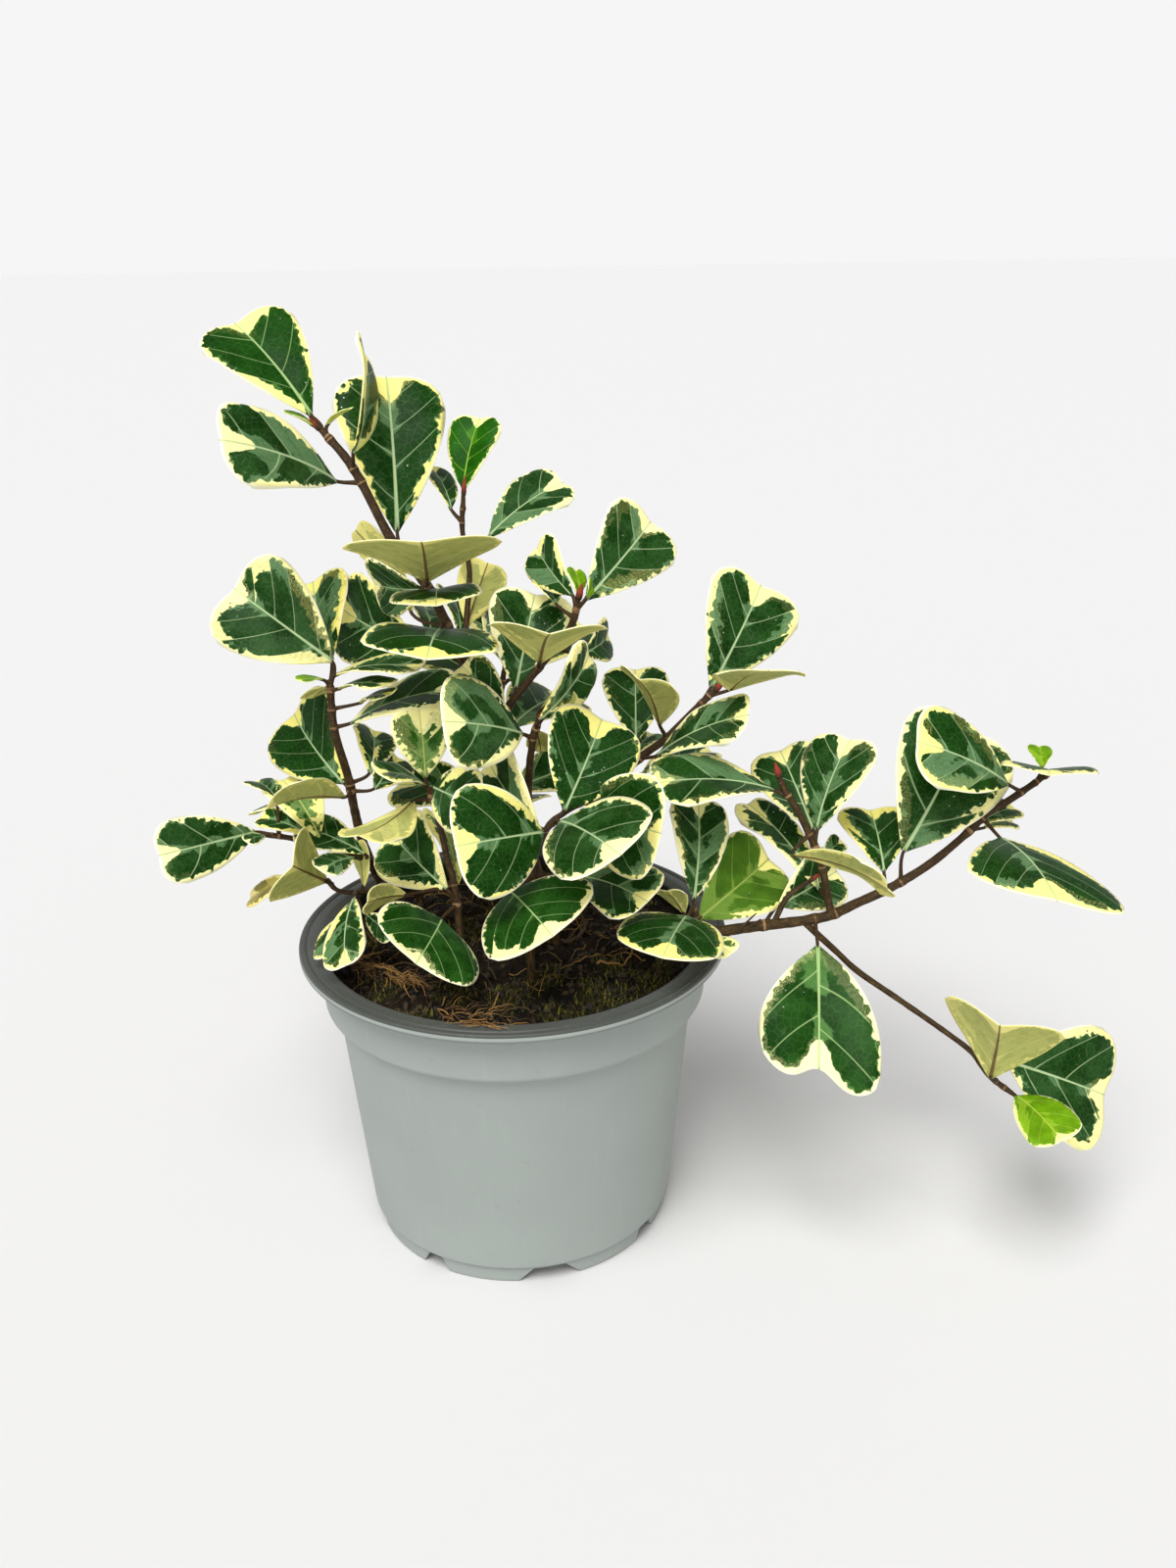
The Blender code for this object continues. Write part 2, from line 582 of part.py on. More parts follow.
def blade(leaf, shoots, group):
    """A leaf: a sheet in triangles that runs from inside the stem along the stalk and out over the blade."""
    across_cells = 2 if leaf.length < SMALL_LEAF else 4
    along_cells = 3 if leaf.length > LARGE_LEAF else 2
    mesh = bpy.data.meshes.new("leaf")
    shape = bmesh.new()
    bmesh.ops.create_grid(shape, x_segments=across_cells, y_segments=along_cells + 1, size=1.0)
    frame = leaf_frame(leaf)
    root = nearest_on_shoots(frame[0] - frame[1] * STALK_AIM, shoots)
    edge = stalk_edge(frame, root)
    for vertex in shape.verts:
        side = round(vertex.co.x, 4)
        row = round((vertex.co.y + 1.0) * 0.5 * (along_cells + 1))
        if row < 2:
            place = (root, frame[0])[row] + edge * ((side > 0.0) - (side < 0.0))
        else:
            place = blade_point(leaf, frame, side, (row - 1) / along_cells)
        vertex.co = place * MM
    bmesh.ops.remove_doubles(shape, verts=shape.verts, dist=MERGE_DISTANCE)
    bmesh.ops.triangulate(shape, faces=shape.faces)
    shape.to_mesh(mesh)
    shape.free()
    item = mesh_object("leaf", mesh, group)
    solidify = item.modifiers.new("Thickness", "SOLIDIFY")
    solidify.thickness = BLADE_THICKNESS * MM
    solidify.offset = 0.0
    bake_modifiers(item)


def make_leafy_stem(name, shoots, leaves, material, group):
    """A leafy stem: its shoots, leaf stalks and blades joined in one solid."""
    repeats = new_collection(name + "_repeats")
    stem = shoot_tube(name, shoots[0], group)
    for shoot in shoots[1:]:
        shoot_tube("side_shoot", shoot, repeats)
    for leaf in leaves:
        blade(leaf, shoots, repeats)
    boolean(stem, "UNION", repeats)
    bake_modifiers(stem)
    for item in list(repeats.objects):
        bpy.data.objects.remove(item)
    bpy.data.collections.remove(repeats)
    stem.data.materials.clear()
    stem.data.materials.append(material)


def centre_on_base(group):
    """Move every node so that the origin lies in the middle of the base of the bounding box."""
    corners = [Vector(corner) for item in group.objects for corner in item.bound_box]
    low = Vector([min(corner[axis] for corner in corners) for axis in range(3)])
    high = Vector([max(corner[axis] for corner in corners) for axis in range(3)])
    shift = Vector((-(low.x + high.x) / 2.0, -(low.y + high.y) / 2.0, -low.z))
    for item in group.objects:
        item.data.transform(Matrix.Translation(shift))


def remove_cutters(cutters):
    """Remove a collection of helper objects once they have cut."""
    for item in list(cutters.objects):
        bpy.data.objects.remove(item)
    bpy.data.collections.remove(cutters)


def main():
    """Build the potted fig."""
    clear_scene()
    group = new_collection("potted_triangle_fig")
    pot_cutters = new_collection("pot_cutters")
    soil_cutters = new_collection("soil_cutters")
    make_pot(group, pot_cutters)
    make_soil(group, soil_cutters)
    leaf_material = new_material("leaf_and_stem", LEAF_COLOUR, 0.4)
    for name, (shoots, leaves) in LEAFY_STEMS.items():
        make_leafy_stem(name, shoots, leaves, leaf_material, group)
    centre_on_base(group)


if __name__ == "__main__":
    main()
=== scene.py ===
"""Looks of a potted triangle fig: pot, soil, moss, bark and every variegated leaf.

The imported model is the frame, and finer pieces stand for its nodes.  The tables of stems and leaves are those
of the part's source: millimetres and degrees, from the pot's axis at the level of its feet.  FROM_AXIS moves
them into the frame, whose origin is in the middle of the object's base.
"""
from __future__ import annotations

import json
import logging
from dataclasses import dataclass
from enum import Enum
from functools import partial, reduce
from math import radians

import bpy
import numpy as np
from mathutils import Matrix, Vector

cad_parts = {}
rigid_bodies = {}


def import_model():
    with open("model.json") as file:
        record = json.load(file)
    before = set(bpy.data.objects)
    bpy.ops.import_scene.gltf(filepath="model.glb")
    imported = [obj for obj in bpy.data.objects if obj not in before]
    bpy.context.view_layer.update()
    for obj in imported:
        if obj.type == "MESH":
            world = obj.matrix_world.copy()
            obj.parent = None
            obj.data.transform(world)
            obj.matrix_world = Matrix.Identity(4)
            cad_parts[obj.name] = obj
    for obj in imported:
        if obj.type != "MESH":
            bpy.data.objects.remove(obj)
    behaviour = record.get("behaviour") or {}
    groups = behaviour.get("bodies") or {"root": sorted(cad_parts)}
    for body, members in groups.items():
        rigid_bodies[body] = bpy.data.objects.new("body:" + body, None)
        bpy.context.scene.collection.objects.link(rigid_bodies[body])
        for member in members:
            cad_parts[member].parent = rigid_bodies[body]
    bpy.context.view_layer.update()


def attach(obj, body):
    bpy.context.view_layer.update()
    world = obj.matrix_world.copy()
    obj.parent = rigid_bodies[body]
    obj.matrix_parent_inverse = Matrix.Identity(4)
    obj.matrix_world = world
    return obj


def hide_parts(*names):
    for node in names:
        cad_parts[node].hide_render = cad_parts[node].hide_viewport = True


LOG = logging.getLogger("potted_triangle_fig")
MM = 0.001
FROM_AXIS = np.array([-49.875, -6.070, 0.0])
BODY = "root"

# Pot sizes
POT_RIM_RADIUS = 85.0
POT_HEIGHT = 125.0
POT_COLLAR_RADIUS = 76.5
POT_BODY_TOP_RADIUS = 71.5
POT_BASE_RADIUS = 62.5
POT_COLLAR_STEP_HEIGHT = 98.2
POT_WALL = 1.5
POT_FLOOR = 2.0
POT_LIP = 3.6
COLLAR_SLOPE = 3.8
POT_FOOT_HEIGHT = 6.8
POT_FOOT_RADIUS = 61.8
SOIL_TOP = 117.0

# A distance from the nearest leaf joint at which the bark shows no scar
FAR_FROM_JOINT = 9.0

Array = np.ndarray
Colour = tuple[float, float, float, float]
Socket = bpy.types.NodeSocket


def tone(red: int, green: int, blue: int) -> Colour:
    """Turn a colour given in display values into linear light.

    Args:
        red: Red, from 0 to 255.
        green: Green, from 0 to 255.
        blue: Blue, from 0 to 255.

    Returns:
        The colour in linear light, with its alpha at 1.
    """
    linear = [(part / 255.0 / 12.92) if part <= 10 else ((part / 255.0 + 0.055) / 1.055) ** 2.4
              for part in (red, green, blue)]
    return (linear[0], linear[1], linear[2], 1.0)


def between(first: Colour, second: Colour, share: float) -> Colour:
    """The colour at a share of the way from the first to the second."""
    return tuple((1.0 - share) * one + share * other for one, other in zip(first, second))


def dimmed(colour: Colour, share: float) -> Colour:
    """A colour with its light cut to a share."""
    return (share * colour[0], share * colour[1], share * colour[2], 1.0)


def smooth_step(value: Array, low: float, high: float) -> Array:
    """Rise evenly from 0 at low to 1 at high, with level ends: 3 t squared minus 2 t cubed."""
    share = np.clip((value - low) / (high - low), 0.0, 1.0)
    return share * share * (3.0 - 2.0 * share)


def lattice_noise(x: Array, y: Array, seed: int) -> Array:
    """Smooth random heights between -1 and 1.

    Each whole-number place holds a random height, a sine of the place with a large factor, and the places
    between take a smooth mean of their four neighbours.

    Args:
        x: First coordinate, in cells.
        y: Second coordinate, in cells.
        seed: Picks one field of heights.

    Returns:
        The heights, one for each place.
    """
    column, row = np.floor(x), np.floor(y)
    across, along = x - column, y - row
    across = across * across * (3.0 - 2.0 * across)
    along = along * along * (3.0 - 2.0 * along)

    def height(i: Array, j: Array) -> Array:
        """Random height of a whole-number place."""
        wave = np.sin(i * 127.1 + j * 311.7 + seed * 74.7) * 43758.5453
        return 2.0 * (wave - np.floor(wave)) - 1.0

    low = height(column, row) * (1.0 - across) + height(column + 1, row) * across
    high = height(column, row + 1) * (1.0 - across) + height(column + 1, row + 1) * across
    return low * (1.0 - along) + high * along


def grid_faces(rows: int, columns: int, closed: bool = False) -> Array:
    """Four-cornered faces of a grid of points that is stored row by row.

    Args:
        rows: Number of rows of points.
        columns: Number of points in a row.
        closed: Whether each row's last point joins its first.

    Returns:
        One row of four point indices for each face, in the order column, next column, next row.
    """
    last = columns if closed else columns - 1
    row, column = np.meshgrid(np.arange(rows - 1), np.arange(last), indexing="ij")
    beside = (column + 1) % columns
    corners = (row * columns + column, row * columns + beside,
               (row + 1) * columns + beside, (row + 1) * columns + column)
    return np.stack(corners, axis=-1).reshape(-1, 4)


def tube_faces(rows: int, count: int) -> Array:
    """Faces of a tube of rings, each end closed by a fan round a point that is stored after the rings.

    A fan's triangle names its first corner twice, to fit in with the faces of four corners.

    Args:
        rows: Number of rings.
        count: Number of points in a ring.

    Returns:
        One row of four point indices for each face: the wall's, then the first end's, then the last end's.
    """
    near = np.arange(count)
    following = (near + 1) % count
    last = (rows - 1) * count
    pole = np.full(count, rows * count)
    first_end = np.stack([pole, following, near, pole], axis=1)
    last_end = np.stack([pole + 1, last + near, last + following, pole + 1], axis=1)
    return np.vstack([grid_faces(rows, count, closed=True), first_end, last_end])


def corner_indices(faces: Array) -> list[list[int]]:
    """Each face's point indices, with an index that is named twice kept once."""
    return [list(dict.fromkeys(face)) for face in faces.tolist()]


class Piece:
    """Collects the patches of one piece and makes its object: points in millimetres from the pot's axis."""

    def __init__(self, name: str) -> None:
        """Start an empty piece.

        Args:
            name: The piece's name.
        """
        self.name = name
        self.points: list[Array] = []
        self.faces: list[Array] = []
        self.finish_of_face: list[Array] = []
        self.numbers: list[dict[str, Array | float]] = []
        self.count = 0

    def add(self, points: Array, faces: Array, finish: int | Array = 0, **numbers: Array | float) -> None:
        """Add a patch.

        Args:
            points: Places, one row of three for each point.
            faces: Point indices of this patch, one row for each face.
            finish: Index of the patch's finish, or one index for each face.
            numbers: Named values on the points, for the finish to read.
        """
        points = np.asarray(points, float).reshape(-1, 3)
        self.points.append(points)
        self.faces.append(faces + self.count)
        self.finish_of_face.append(np.broadcast_to(finish, len(faces)))
        self.numbers.append({name: np.ravel(value) if np.ndim(value) else value
                             for name, value in numbers.items()})
        self.count += len(points)

    def build(self, finishes: list[bpy.types.Material],
              node: str | None = None) -> bpy.types.Object:
        """Make the object, which rides on the frame's body.

        Args:
            finishes: The piece's materials.
            node: The frame's node that this piece stands for, if any.

        Returns:
            The new object.
        """
        mesh = bpy.data.meshes.new(self.name)
        points = (np.concatenate(self.points) + FROM_AXIS) * MM
        mesh.from_pydata(points.tolist(), [], corner_indices(np.concatenate(self.faces)))
        for name in sorted({name for patch in self.numbers for name in patch}):
            values = [np.broadcast_to(patch.get(name, 0.0), len(place))
                      for patch, place in zip(self.numbers, self.points)]
            layer = mesh.attributes.new(name, "FLOAT", "POINT")
            layer.data.foreach_set("value", np.concatenate(values).astype(np.float32))
        for finish in finishes:
            mesh.materials.append(finish)
        indices = np.concatenate(self.finish_of_face).astype(np.int32)
        mesh.polygons.foreach_set("material_index", indices)
        mesh.shade_smooth()
        mesh.update()
        item = bpy.data.objects.new(self.name, mesh)
        bpy.context.scene.collection.objects.link(item)
        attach(item, BODY)
        if node is not None:
            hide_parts(node)
        return item


def unit(vectors: Array) -> Array:
    """Scale vectors to length one."""
    return vectors / np.maximum(np.linalg.norm(vectors, axis=-1, keepdims=True), 1e-9)


def smooth_path(corners: Array, spacing: float) -> Array:
    """Round off a line of corners with a Catmull-Rom spline.

    Between corners b and c, with a before and d after them, the place at t is half of 2b + (c - a) t
    + (2a - 5b + 4c - d) t squared + (3b - a - 3c + d) t cubed.

    Args:
        corners: Places that the line passes through.
        spacing: Rough distance between the points that come back.

    Returns:
        Points along the line.
    """
    corners = np.asarray(corners, float)
    padded = np.vstack([2.0 * corners[0] - corners[1], corners, 2.0 * corners[-1] - corners[-2]])
    stretches = []
    for a, b, c, d in zip(padded, padded[1:], padded[2:], padded[3:]):
        steps = max(2, round(float(np.linalg.norm(c - b)) / spacing))
        t = np.linspace(0.0, 1.0, steps, endpoint=False)[:, None]
        stretches.append(0.5 * (2.0 * b + (c - a) * t + (2.0 * a - 5.0 * b + 4.0 * c - d) * t ** 2
                                + (3.0 * b - a - 3.0 * c + d) * t ** 3))
    stretches.append(corners[-1:])
    return np.vstack(stretches)


def run_length(path: Array) -> Array:
    """Distance along a path to each of its points."""
    steps = np.linalg.norm(np.diff(path, axis=0), axis=1)
    return np.concatenate([[0.0], np.cumsum(steps)])


def swept_tube(path: Array, radii: Array, sides: int) -> tuple[Array, Array]:
    """Carry a circle along a path.

    A point is path(s) + radius(s) (cos t first(s) + sin t second(s)).  The two directions are square to the
    path, and each follows from the one before it by taking away the part along the path.

    Args:
        path: Points along the middle of the tube.
        radii: The radius at each point.
        sides: Number of points round the tube.

    Returns:
        The tube's points with a middle point at each end, and its faces.
    """
    along = unit(np.gradient(path, axis=0))
    guide = np.array([0.0, 0.0, 1.0]) if abs(along[0][2]) < 0.8 else np.array([1.0, 0.0, 0.0])
    first = np.empty_like(path)
    for index, direction in enumerate(along):
        guide = guide - direction * float(guide @ direction)
        guide = guide / np.linalg.norm(guide)
        first[index] = guide
    second = np.cross(along, first)
    turn = np.linspace(0.0, 2.0 * np.pi, sides, endpoint=False)
    ring = np.cos(turn)[None, :, None] * first[:, None, :] + np.sin(turn)[None, :, None] * second[:, None, :]
    wall = path[:, None, :] + radii[:, None, None] * ring
    return np.vstack([wall.reshape(-1, 3), path[:1], path[-1:]]), tube_faces(len(path), sides)


class Graph:
    """Adds nodes to a material, one call for each."""

    def __init__(self, name: str) -> None:
        """Start a new material.

        Args:
            name: The material's name.
        """
        self.material = bpy.data.materials.new(name)
        self.material.use_nodes = True
        self.tree = self.material.node_tree
        self.shader = self.tree.nodes["Principled BSDF"]

    def feed(self, socket: Socket, value: object) -> None:
        """Join a socket to a socket, or set its value.

        Args:
            socket: The input that is fed.
            value: An output socket, a number, a place or a colour.
        """
        if isinstance(value, Socket):
            self.tree.links.new(value, socket)
        else:
            socket.default_value = value

    def set(self, name: str, value: object) -> None:
        """Feed one of the shader's own sockets."""
        self.feed(self.shader.inputs[name], value)

    def number(self, name: str) -> Socket:
        """Read a named value of the piece's points.

        Args:
            name: The value's name.

        Returns:
            The value.
        """
        node = self.tree.nodes.new("ShaderNodeAttribute")
        node.attribute_name = name
        return node.outputs["Fac"]

    def place(self) -> Socket:
        """Read Object coordinates, in metres."""
        return self.tree.nodes.new("ShaderNodeTexCoord").outputs["Object"]

    def maths(self, operation: str, first: object, second: object = 0.0) -> Socket:
        """Work out one step of arithmetic.

        Args:
            operation: The Math node's operation.
            first: The first value.
            second: The second value, for an operation that takes two.

        Returns:
            The result.
        """
        node = self.tree.nodes.new("ShaderNodeMath")
        node.operation = operation
        for socket, value in zip(node.inputs, (first, second)):
            self.feed(socket, value)
        return node.outputs[0]

    def add(self, *terms: object) -> Socket:
        """Add two or more values."""
        return reduce(partial(self.maths, "ADD"), terms)

    def times(self, *factors: object) -> Socket:
        """Multiply two or more values."""
        return reduce(partial(self.maths, "MULTIPLY"), factors)

    def rise(self, value: object, low: object, high: object) -> Socket:
        """Go smoothly from 0 at low to 1 at high.

        Args:
            value: The value that is looked at.
            low: Where the rise starts.
            high: Where it ends.

        Returns:
            A share from 0 to 1.
        """
        node = self.tree.nodes.new("ShaderNodeMapRange")
        node.interpolation_type = "SMOOTHSTEP"
        self.feed(node.inputs["Value"], value)
        self.feed(node.inputs["From Min"], low)
        self.feed(node.inputs["From Max"], high)
        return node.outputs["Result"]

    def fall(self, value: object, low: object, high: object) -> Socket:
        """Go smoothly from 1 at low to 0 at high."""
        return self.maths("SUBTRACT", 1.0, self.rise(value, low, high))

    def vector(self, x: object, y: object, z: object) -> Socket:
        """Join three values to a place.

        Args:
            x: First coordinate.
            y: Second coordinate.
            z: Third coordinate.

        Returns:
            The place.
        """
        node = self.tree.nodes.new("ShaderNodeCombineXYZ")
        for socket, value in zip(node.inputs, (x, y, z)):
            self.feed(socket, value)
        return node.outputs[0]

    def height(self, place: Socket) -> Socket:
        """Take a place's third coordinate.

        Args:
            place: The place.

        Returns:
            Its height, in metres.
        """
        node = self.tree.nodes.new("ShaderNodeSeparateXYZ")
        self.feed(node.inputs[0], place)
        return node.outputs["Z"]

    def squeezed(self, place: Socket, scale: tuple[float, float, float]) -> Socket:
        """Scale a place along each axis.

        Args:
            place: The place.
            scale: The three factors.

        Returns:
            The scaled place.
        """
        node = self.tree.nodes.new("ShaderNodeMapping")
        node.inputs["Scale"].default_value = scale
        self.feed(node.inputs["Vector"], place)
        return node.outputs[0]

    def noise(self, place: object, scale: float, detail: float) -> Socket:
        """Smooth noise about 0, from -0.5 to 0.5.

        Args:
            place: Where it is read.
            scale: Waves in a unit of length.
            detail: Number of finer layers.

        Returns:
            The noise.
        """
        node = self.tree.nodes.new("ShaderNodeTexNoise")
        self.feed(node.inputs["Vector"], place)
        node.inputs["Scale"].default_value = scale
        node.inputs["Detail"].default_value = detail
        return self.maths("SUBTRACT", node.outputs[0], 0.5)

    def cells(self, place: object, scale: float, feature: str = "F1") -> Socket:
        """Distance to the nearest of many scattered points, or to the edge of its cell.

        Args:
            place: Where it is read.
            scale: Points in a unit of length.
            feature: The Voronoi node's feature.

        Returns:
            The distance.
        """
        node = self.tree.nodes.new("ShaderNodeTexVoronoi")
        node.feature = feature
        self.feed(node.inputs["Vector"], place)
        node.inputs["Scale"].default_value = scale
        return node.outputs["Distance"]

    def dice(self, place: object) -> list[Socket]:
        """Throw three dice.

        Args:
            place: Picks the throw.

        Returns:
            Three random values from 0 to 1.
        """
        node = self.tree.nodes.new("ShaderNodeTexWhiteNoise")
        self.feed(node.inputs["Vector"], place)
        split = self.tree.nodes.new("ShaderNodeSeparateColor")
        self.tree.links.new(node.outputs["Color"], split.inputs[0])
        return [split.outputs[0], split.outputs[1], split.outputs[2]]

    def blend(self, share: object, first: object, second: object) -> Socket:
        """Mix two colours.

        Args:
            share: 0 for the first colour, 1 for the second.
            first: The first colour.
            second: The second colour.

        Returns:
            The mixed colour.
        """
        node = self.tree.nodes.new("ShaderNodeMix")
        node.data_type = "RGBA"
        self.feed(node.inputs[0], share)
        self.feed(node.inputs[6], first)
        self.feed(node.inputs[7], second)
        return node.outputs[2]

    def bump(self, height: object, distance: float, strength: float) -> None:
        """Let a height dent the surface.

        Args:
            height: The height, in units of distance.
            distance: How deep one unit is, in metres.
            strength: How much of the dent shows.
        """
        node = self.tree.nodes.new("ShaderNodeBump")
        node.inputs["Strength"].default_value = strength
        node.inputs["Distance"].default_value = distance
        self.feed(node.inputs["Height"], height)
        self.tree.links.new(node.outputs[0], self.shader.inputs["Normal"])


class Look(Enum):
    """How a leaf is coloured."""

    MATURE = "mature"
    DEEP = "deep"
    FRESH = "fresh"
    YOUNG = "young"
    CREAM = "cream"
    OLIVE = "olive"
    FADED = "faded"


class LeafMarks:
    """What a leaf's pattern is worked out from: the values that its points carry, noise and random draws.

    The values are scaled as for a leaf 40 mm long: edge is the distance to the outline, rib the distance to
    the midrib, sector counts the side veins, and wedge is 1 at the notch.
    """

    def __init__(self, graph: Graph) -> None:
        """Read the values, make the noise and throw the dice.

        Args:
            graph: The leaf material's graph.
        """
        self.edge, self.rib = graph.number("edge"), graph.number("rib")
        self.wedge, sector, seed = graph.number("wedge"), graph.number("sector"), graph.number("seed")
        across = graph.number("across")
        self.flat = graph.vector(across, graph.number("along"), graph.times(seed, 7.31))
        self.ragged = graph.noise(self.flat, 0.30, 2.0)
        self.fine = graph.noise(self.flat, 1.3, 2.0)
        self.drift = graph.noise(self.flat, 0.085, 1.0)
        brushed = graph.vector(graph.times(sector, 6.0), graph.times(self.rib, 0.12), seed)
        self.streaks = graph.noise(brushed, 1.0, 2.0)
        self.leaf_dice = graph.dice(graph.vector(graph.times(seed, 1.9), 5.0, 2.0))
        self.sector_dice = graph.dice(graph.vector(graph.maths("FLOOR", sector), graph.maths("SIGN", across),
                                                   graph.times(seed, 3.7)))
        off_vein = graph.maths("SUBTRACT", sector, graph.maths("ROUND", sector))
        from_vein = graph.maths("ABSOLUTE", off_vein)
        self.finger = graph.maths("POWER", graph.maths("SUBTRACT", 1.0, graph.times(from_vein, 2.0)), 3.0)
        self.side_vein = graph.times(graph.fall(from_vein, 0.008, 0.030), graph.rise(self.edge, 0.8, 3.0))
        self.midrib = graph.fall(self.rib, 0.28, 0.62)
        self.net = graph.times(graph.fall(graph.cells(self.flat, 0.5, "DISTANCE_TO_EDGE"), 0.0, 0.05), 0.07)


@dataclass(frozen=True)
class LeafFinish:
    """The waxy finish of one kind of leaf: green, grey-green and cream above, pale below.

    Sectors between side veins get a random depth of cream and of grey-green from the edge.
    """

    look: Look
    dark: Colour
    grey: Colour
    cream: Colour
    edge: Colour
    vein: Colour
    back: Colour
    back_cream: Colour
    cream_width: float = 1.0
    grey_share: float = 0.55
    back_rib: Colour = tone(92, 58, 38)
    wax_dot: Colour = tone(225, 232, 220)
    roughness: float = 0.40
    specular: float = 0.07
    translucence: float = 0.08
    light_reach: tuple[float, float, float] = (0.0012, 0.0018, 0.0006)
    relief_depth: float = 0.00028

    def cream_depth(self, graph: Graph, marks: LeafMarks) -> Socket:
        """How far the cream margin reaches in from the outline.

        It is a base width, more in a few sectors, more at the notch and along side veins, with a torn edge,
        plus islands round scattered points, and never less than a thin line.

        Args:
            graph: The leaf material's graph.
            marks: What the pattern is worked out from.

        Returns:
            The depth, in millimetres on a leaf 40 mm long.
        """
        some_sectors = graph.times(graph.maths("POWER", marks.sector_dice[0], 4.0),
                                   graph.add(0.8, graph.times(marks.leaf_dice[2], 4.0)))
        notch = graph.times(marks.wedge, graph.add(3.0, graph.times(marks.leaf_dice[0], 9.0)))
        along_vein = graph.times(marks.finger, graph.add(0.2, graph.times(marks.wedge, 2.0)))
        depth = graph.add(0.75, some_sectors, notch, along_vein, graph.times(marks.ragged, 3.2),
                          graph.times(marks.fine, 0.7))
        islands = graph.times(graph.add(graph.cells(marks.flat, 0.42), -0.42), 1.9, self.cream_width)
        depth = graph.add(graph.times(depth, self.cream_width), islands)
        return graph.maths("MAXIMUM", depth, graph.times(0.3, self.cream_width))

    def grey_patches(self, graph: Graph, marks: LeafMarks, cream_depth: Socket) -> Socket:
        """Where the leaf is grey-green: inside the cream, in picked sectors, and in feathers by the midrib.

        Args:
            graph: The leaf material's graph.
            marks: What the pattern is worked out from.
            cream_depth: How far the cream margin reaches in.

        Returns:
            The share of grey-green.
        """
        limit = 1.0 - self.grey_share
        picked = graph.rise(marks.sector_dice[1], limit - 0.01, limit + 0.01)
        in_sector = graph.times(picked, graph.add(1.0, graph.times(marks.sector_dice[2], 9.0)))
        drifted = graph.add(graph.times(marks.drift, 16.0), graph.times(self.grey_share, 6.0), -2.2)
        band = graph.add(cream_depth, 0.1, graph.maths("MAXIMUM", 0.0, drifted), in_sector,
                         graph.times(marks.streaks, 5.0), graph.times(marks.ragged, 2.0),
                         graph.times(marks.fine, 1.6))
        near_edge = graph.fall(marks.edge, graph.add(band, -0.3), graph.add(band, 0.3))
        feather = graph.add(graph.times(marks.leaf_dice[0], 5.0), graph.times(marks.finger, 5.0),
                            graph.times(marks.streaks, 9.0), graph.times(marks.drift, 24.0),
                            graph.times(marks.wedge, 6.0), graph.times(self.grey_share, 8.0), -5.0)
        near_rib = graph.fall(marks.rib, graph.add(feather, -0.5), graph.add(feather, 0.5))
        return graph.maths("MAXIMUM", near_edge, graph.times(near_rib, 0.85))

    def upper_face(self, graph: Graph, marks: LeafMarks, cream: Socket, grey: Socket) -> Socket:
        """Colour of the upper face: green, grey-green, net, side veins, cream, midrib and dots, in turn.

        Args:
            graph: The leaf material's graph.
            marks: What the pattern is worked out from.
            cream: The share of cream.
            grey: The share of grey-green.

        Returns:
            The colour.
        """
        cool = between(self.dark, self.grey, 0.2)
        green = graph.blend(graph.times(marks.leaf_dice[1], 0.7), self.dark, cool)
        green = graph.blend(graph.rise(graph.noise(marks.flat, 0.12, 2.0), -0.2, 0.2), green,
                            dimmed(self.dark, 0.66))
        brushed = graph.rise(graph.add(marks.streaks, graph.times(marks.fine, 0.6)), -0.05, 0.22)
        pale = graph.blend(brushed, self.grey, between(self.grey, self.dark, 0.35))
        colour = graph.blend(grey, green, pale)
        colour = graph.blend(marks.net, colour, self.vein)
        vein_share = graph.add(0.36, graph.times(marks.leaf_dice[1], 0.2))
        colour = graph.blend(graph.times(marks.side_vein, vein_share), colour, self.vein)
        tinted = graph.blend(marks.leaf_dice[1], self.cream, between(self.cream, self.edge, 0.5))
        whitened = graph.blend(graph.fall(marks.edge, 0.2, 0.9), tinted, self.edge)
        colour = graph.blend(cream, colour, whitened)
        colour = graph.blend(graph.times(marks.midrib, 0.85), colour, self.vein)
        dots = graph.times(graph.fall(graph.cells(marks.flat, 0.42), 0.06, 0.09),
                           graph.rise(graph.noise(marks.flat, 0.07, 1.0), 0.09, 0.12))
        return graph.blend(graph.times(dots, 0.8), colour, self.wax_dot)

    def lower_face(self, graph: Graph, marks: LeafMarks, cream: Socket, grey: Socket) -> Socket:
        """Colour of the lower face: the upper face's pattern shows through faintly, and the midrib is brown.

        Args:
            graph: The leaf material's graph.
            marks: What the pattern is worked out from.
            cream: The share of cream.
            grey: The share of grey-green.

        Returns:
            The colour.
        """
        mottled = graph.rise(graph.add(marks.streaks, graph.times(marks.ragged, 0.8)), -0.05, 0.2)
        colour = graph.blend(graph.times(mottled, 0.45), self.back, between(self.back, self.dark, 0.45))
        colour = graph.blend(graph.times(grey, 0.35), colour, self.back_cream)
        colour = graph.blend(graph.times(cream, 0.85), colour, self.back_cream)
        colour = graph.blend(graph.times(marks.side_vein, 0.4), colour, self.back_cream)
        return graph.blend(graph.times(graph.fall(marks.rib, 0.3, 0.62), 0.85), colour, self.back_rib)

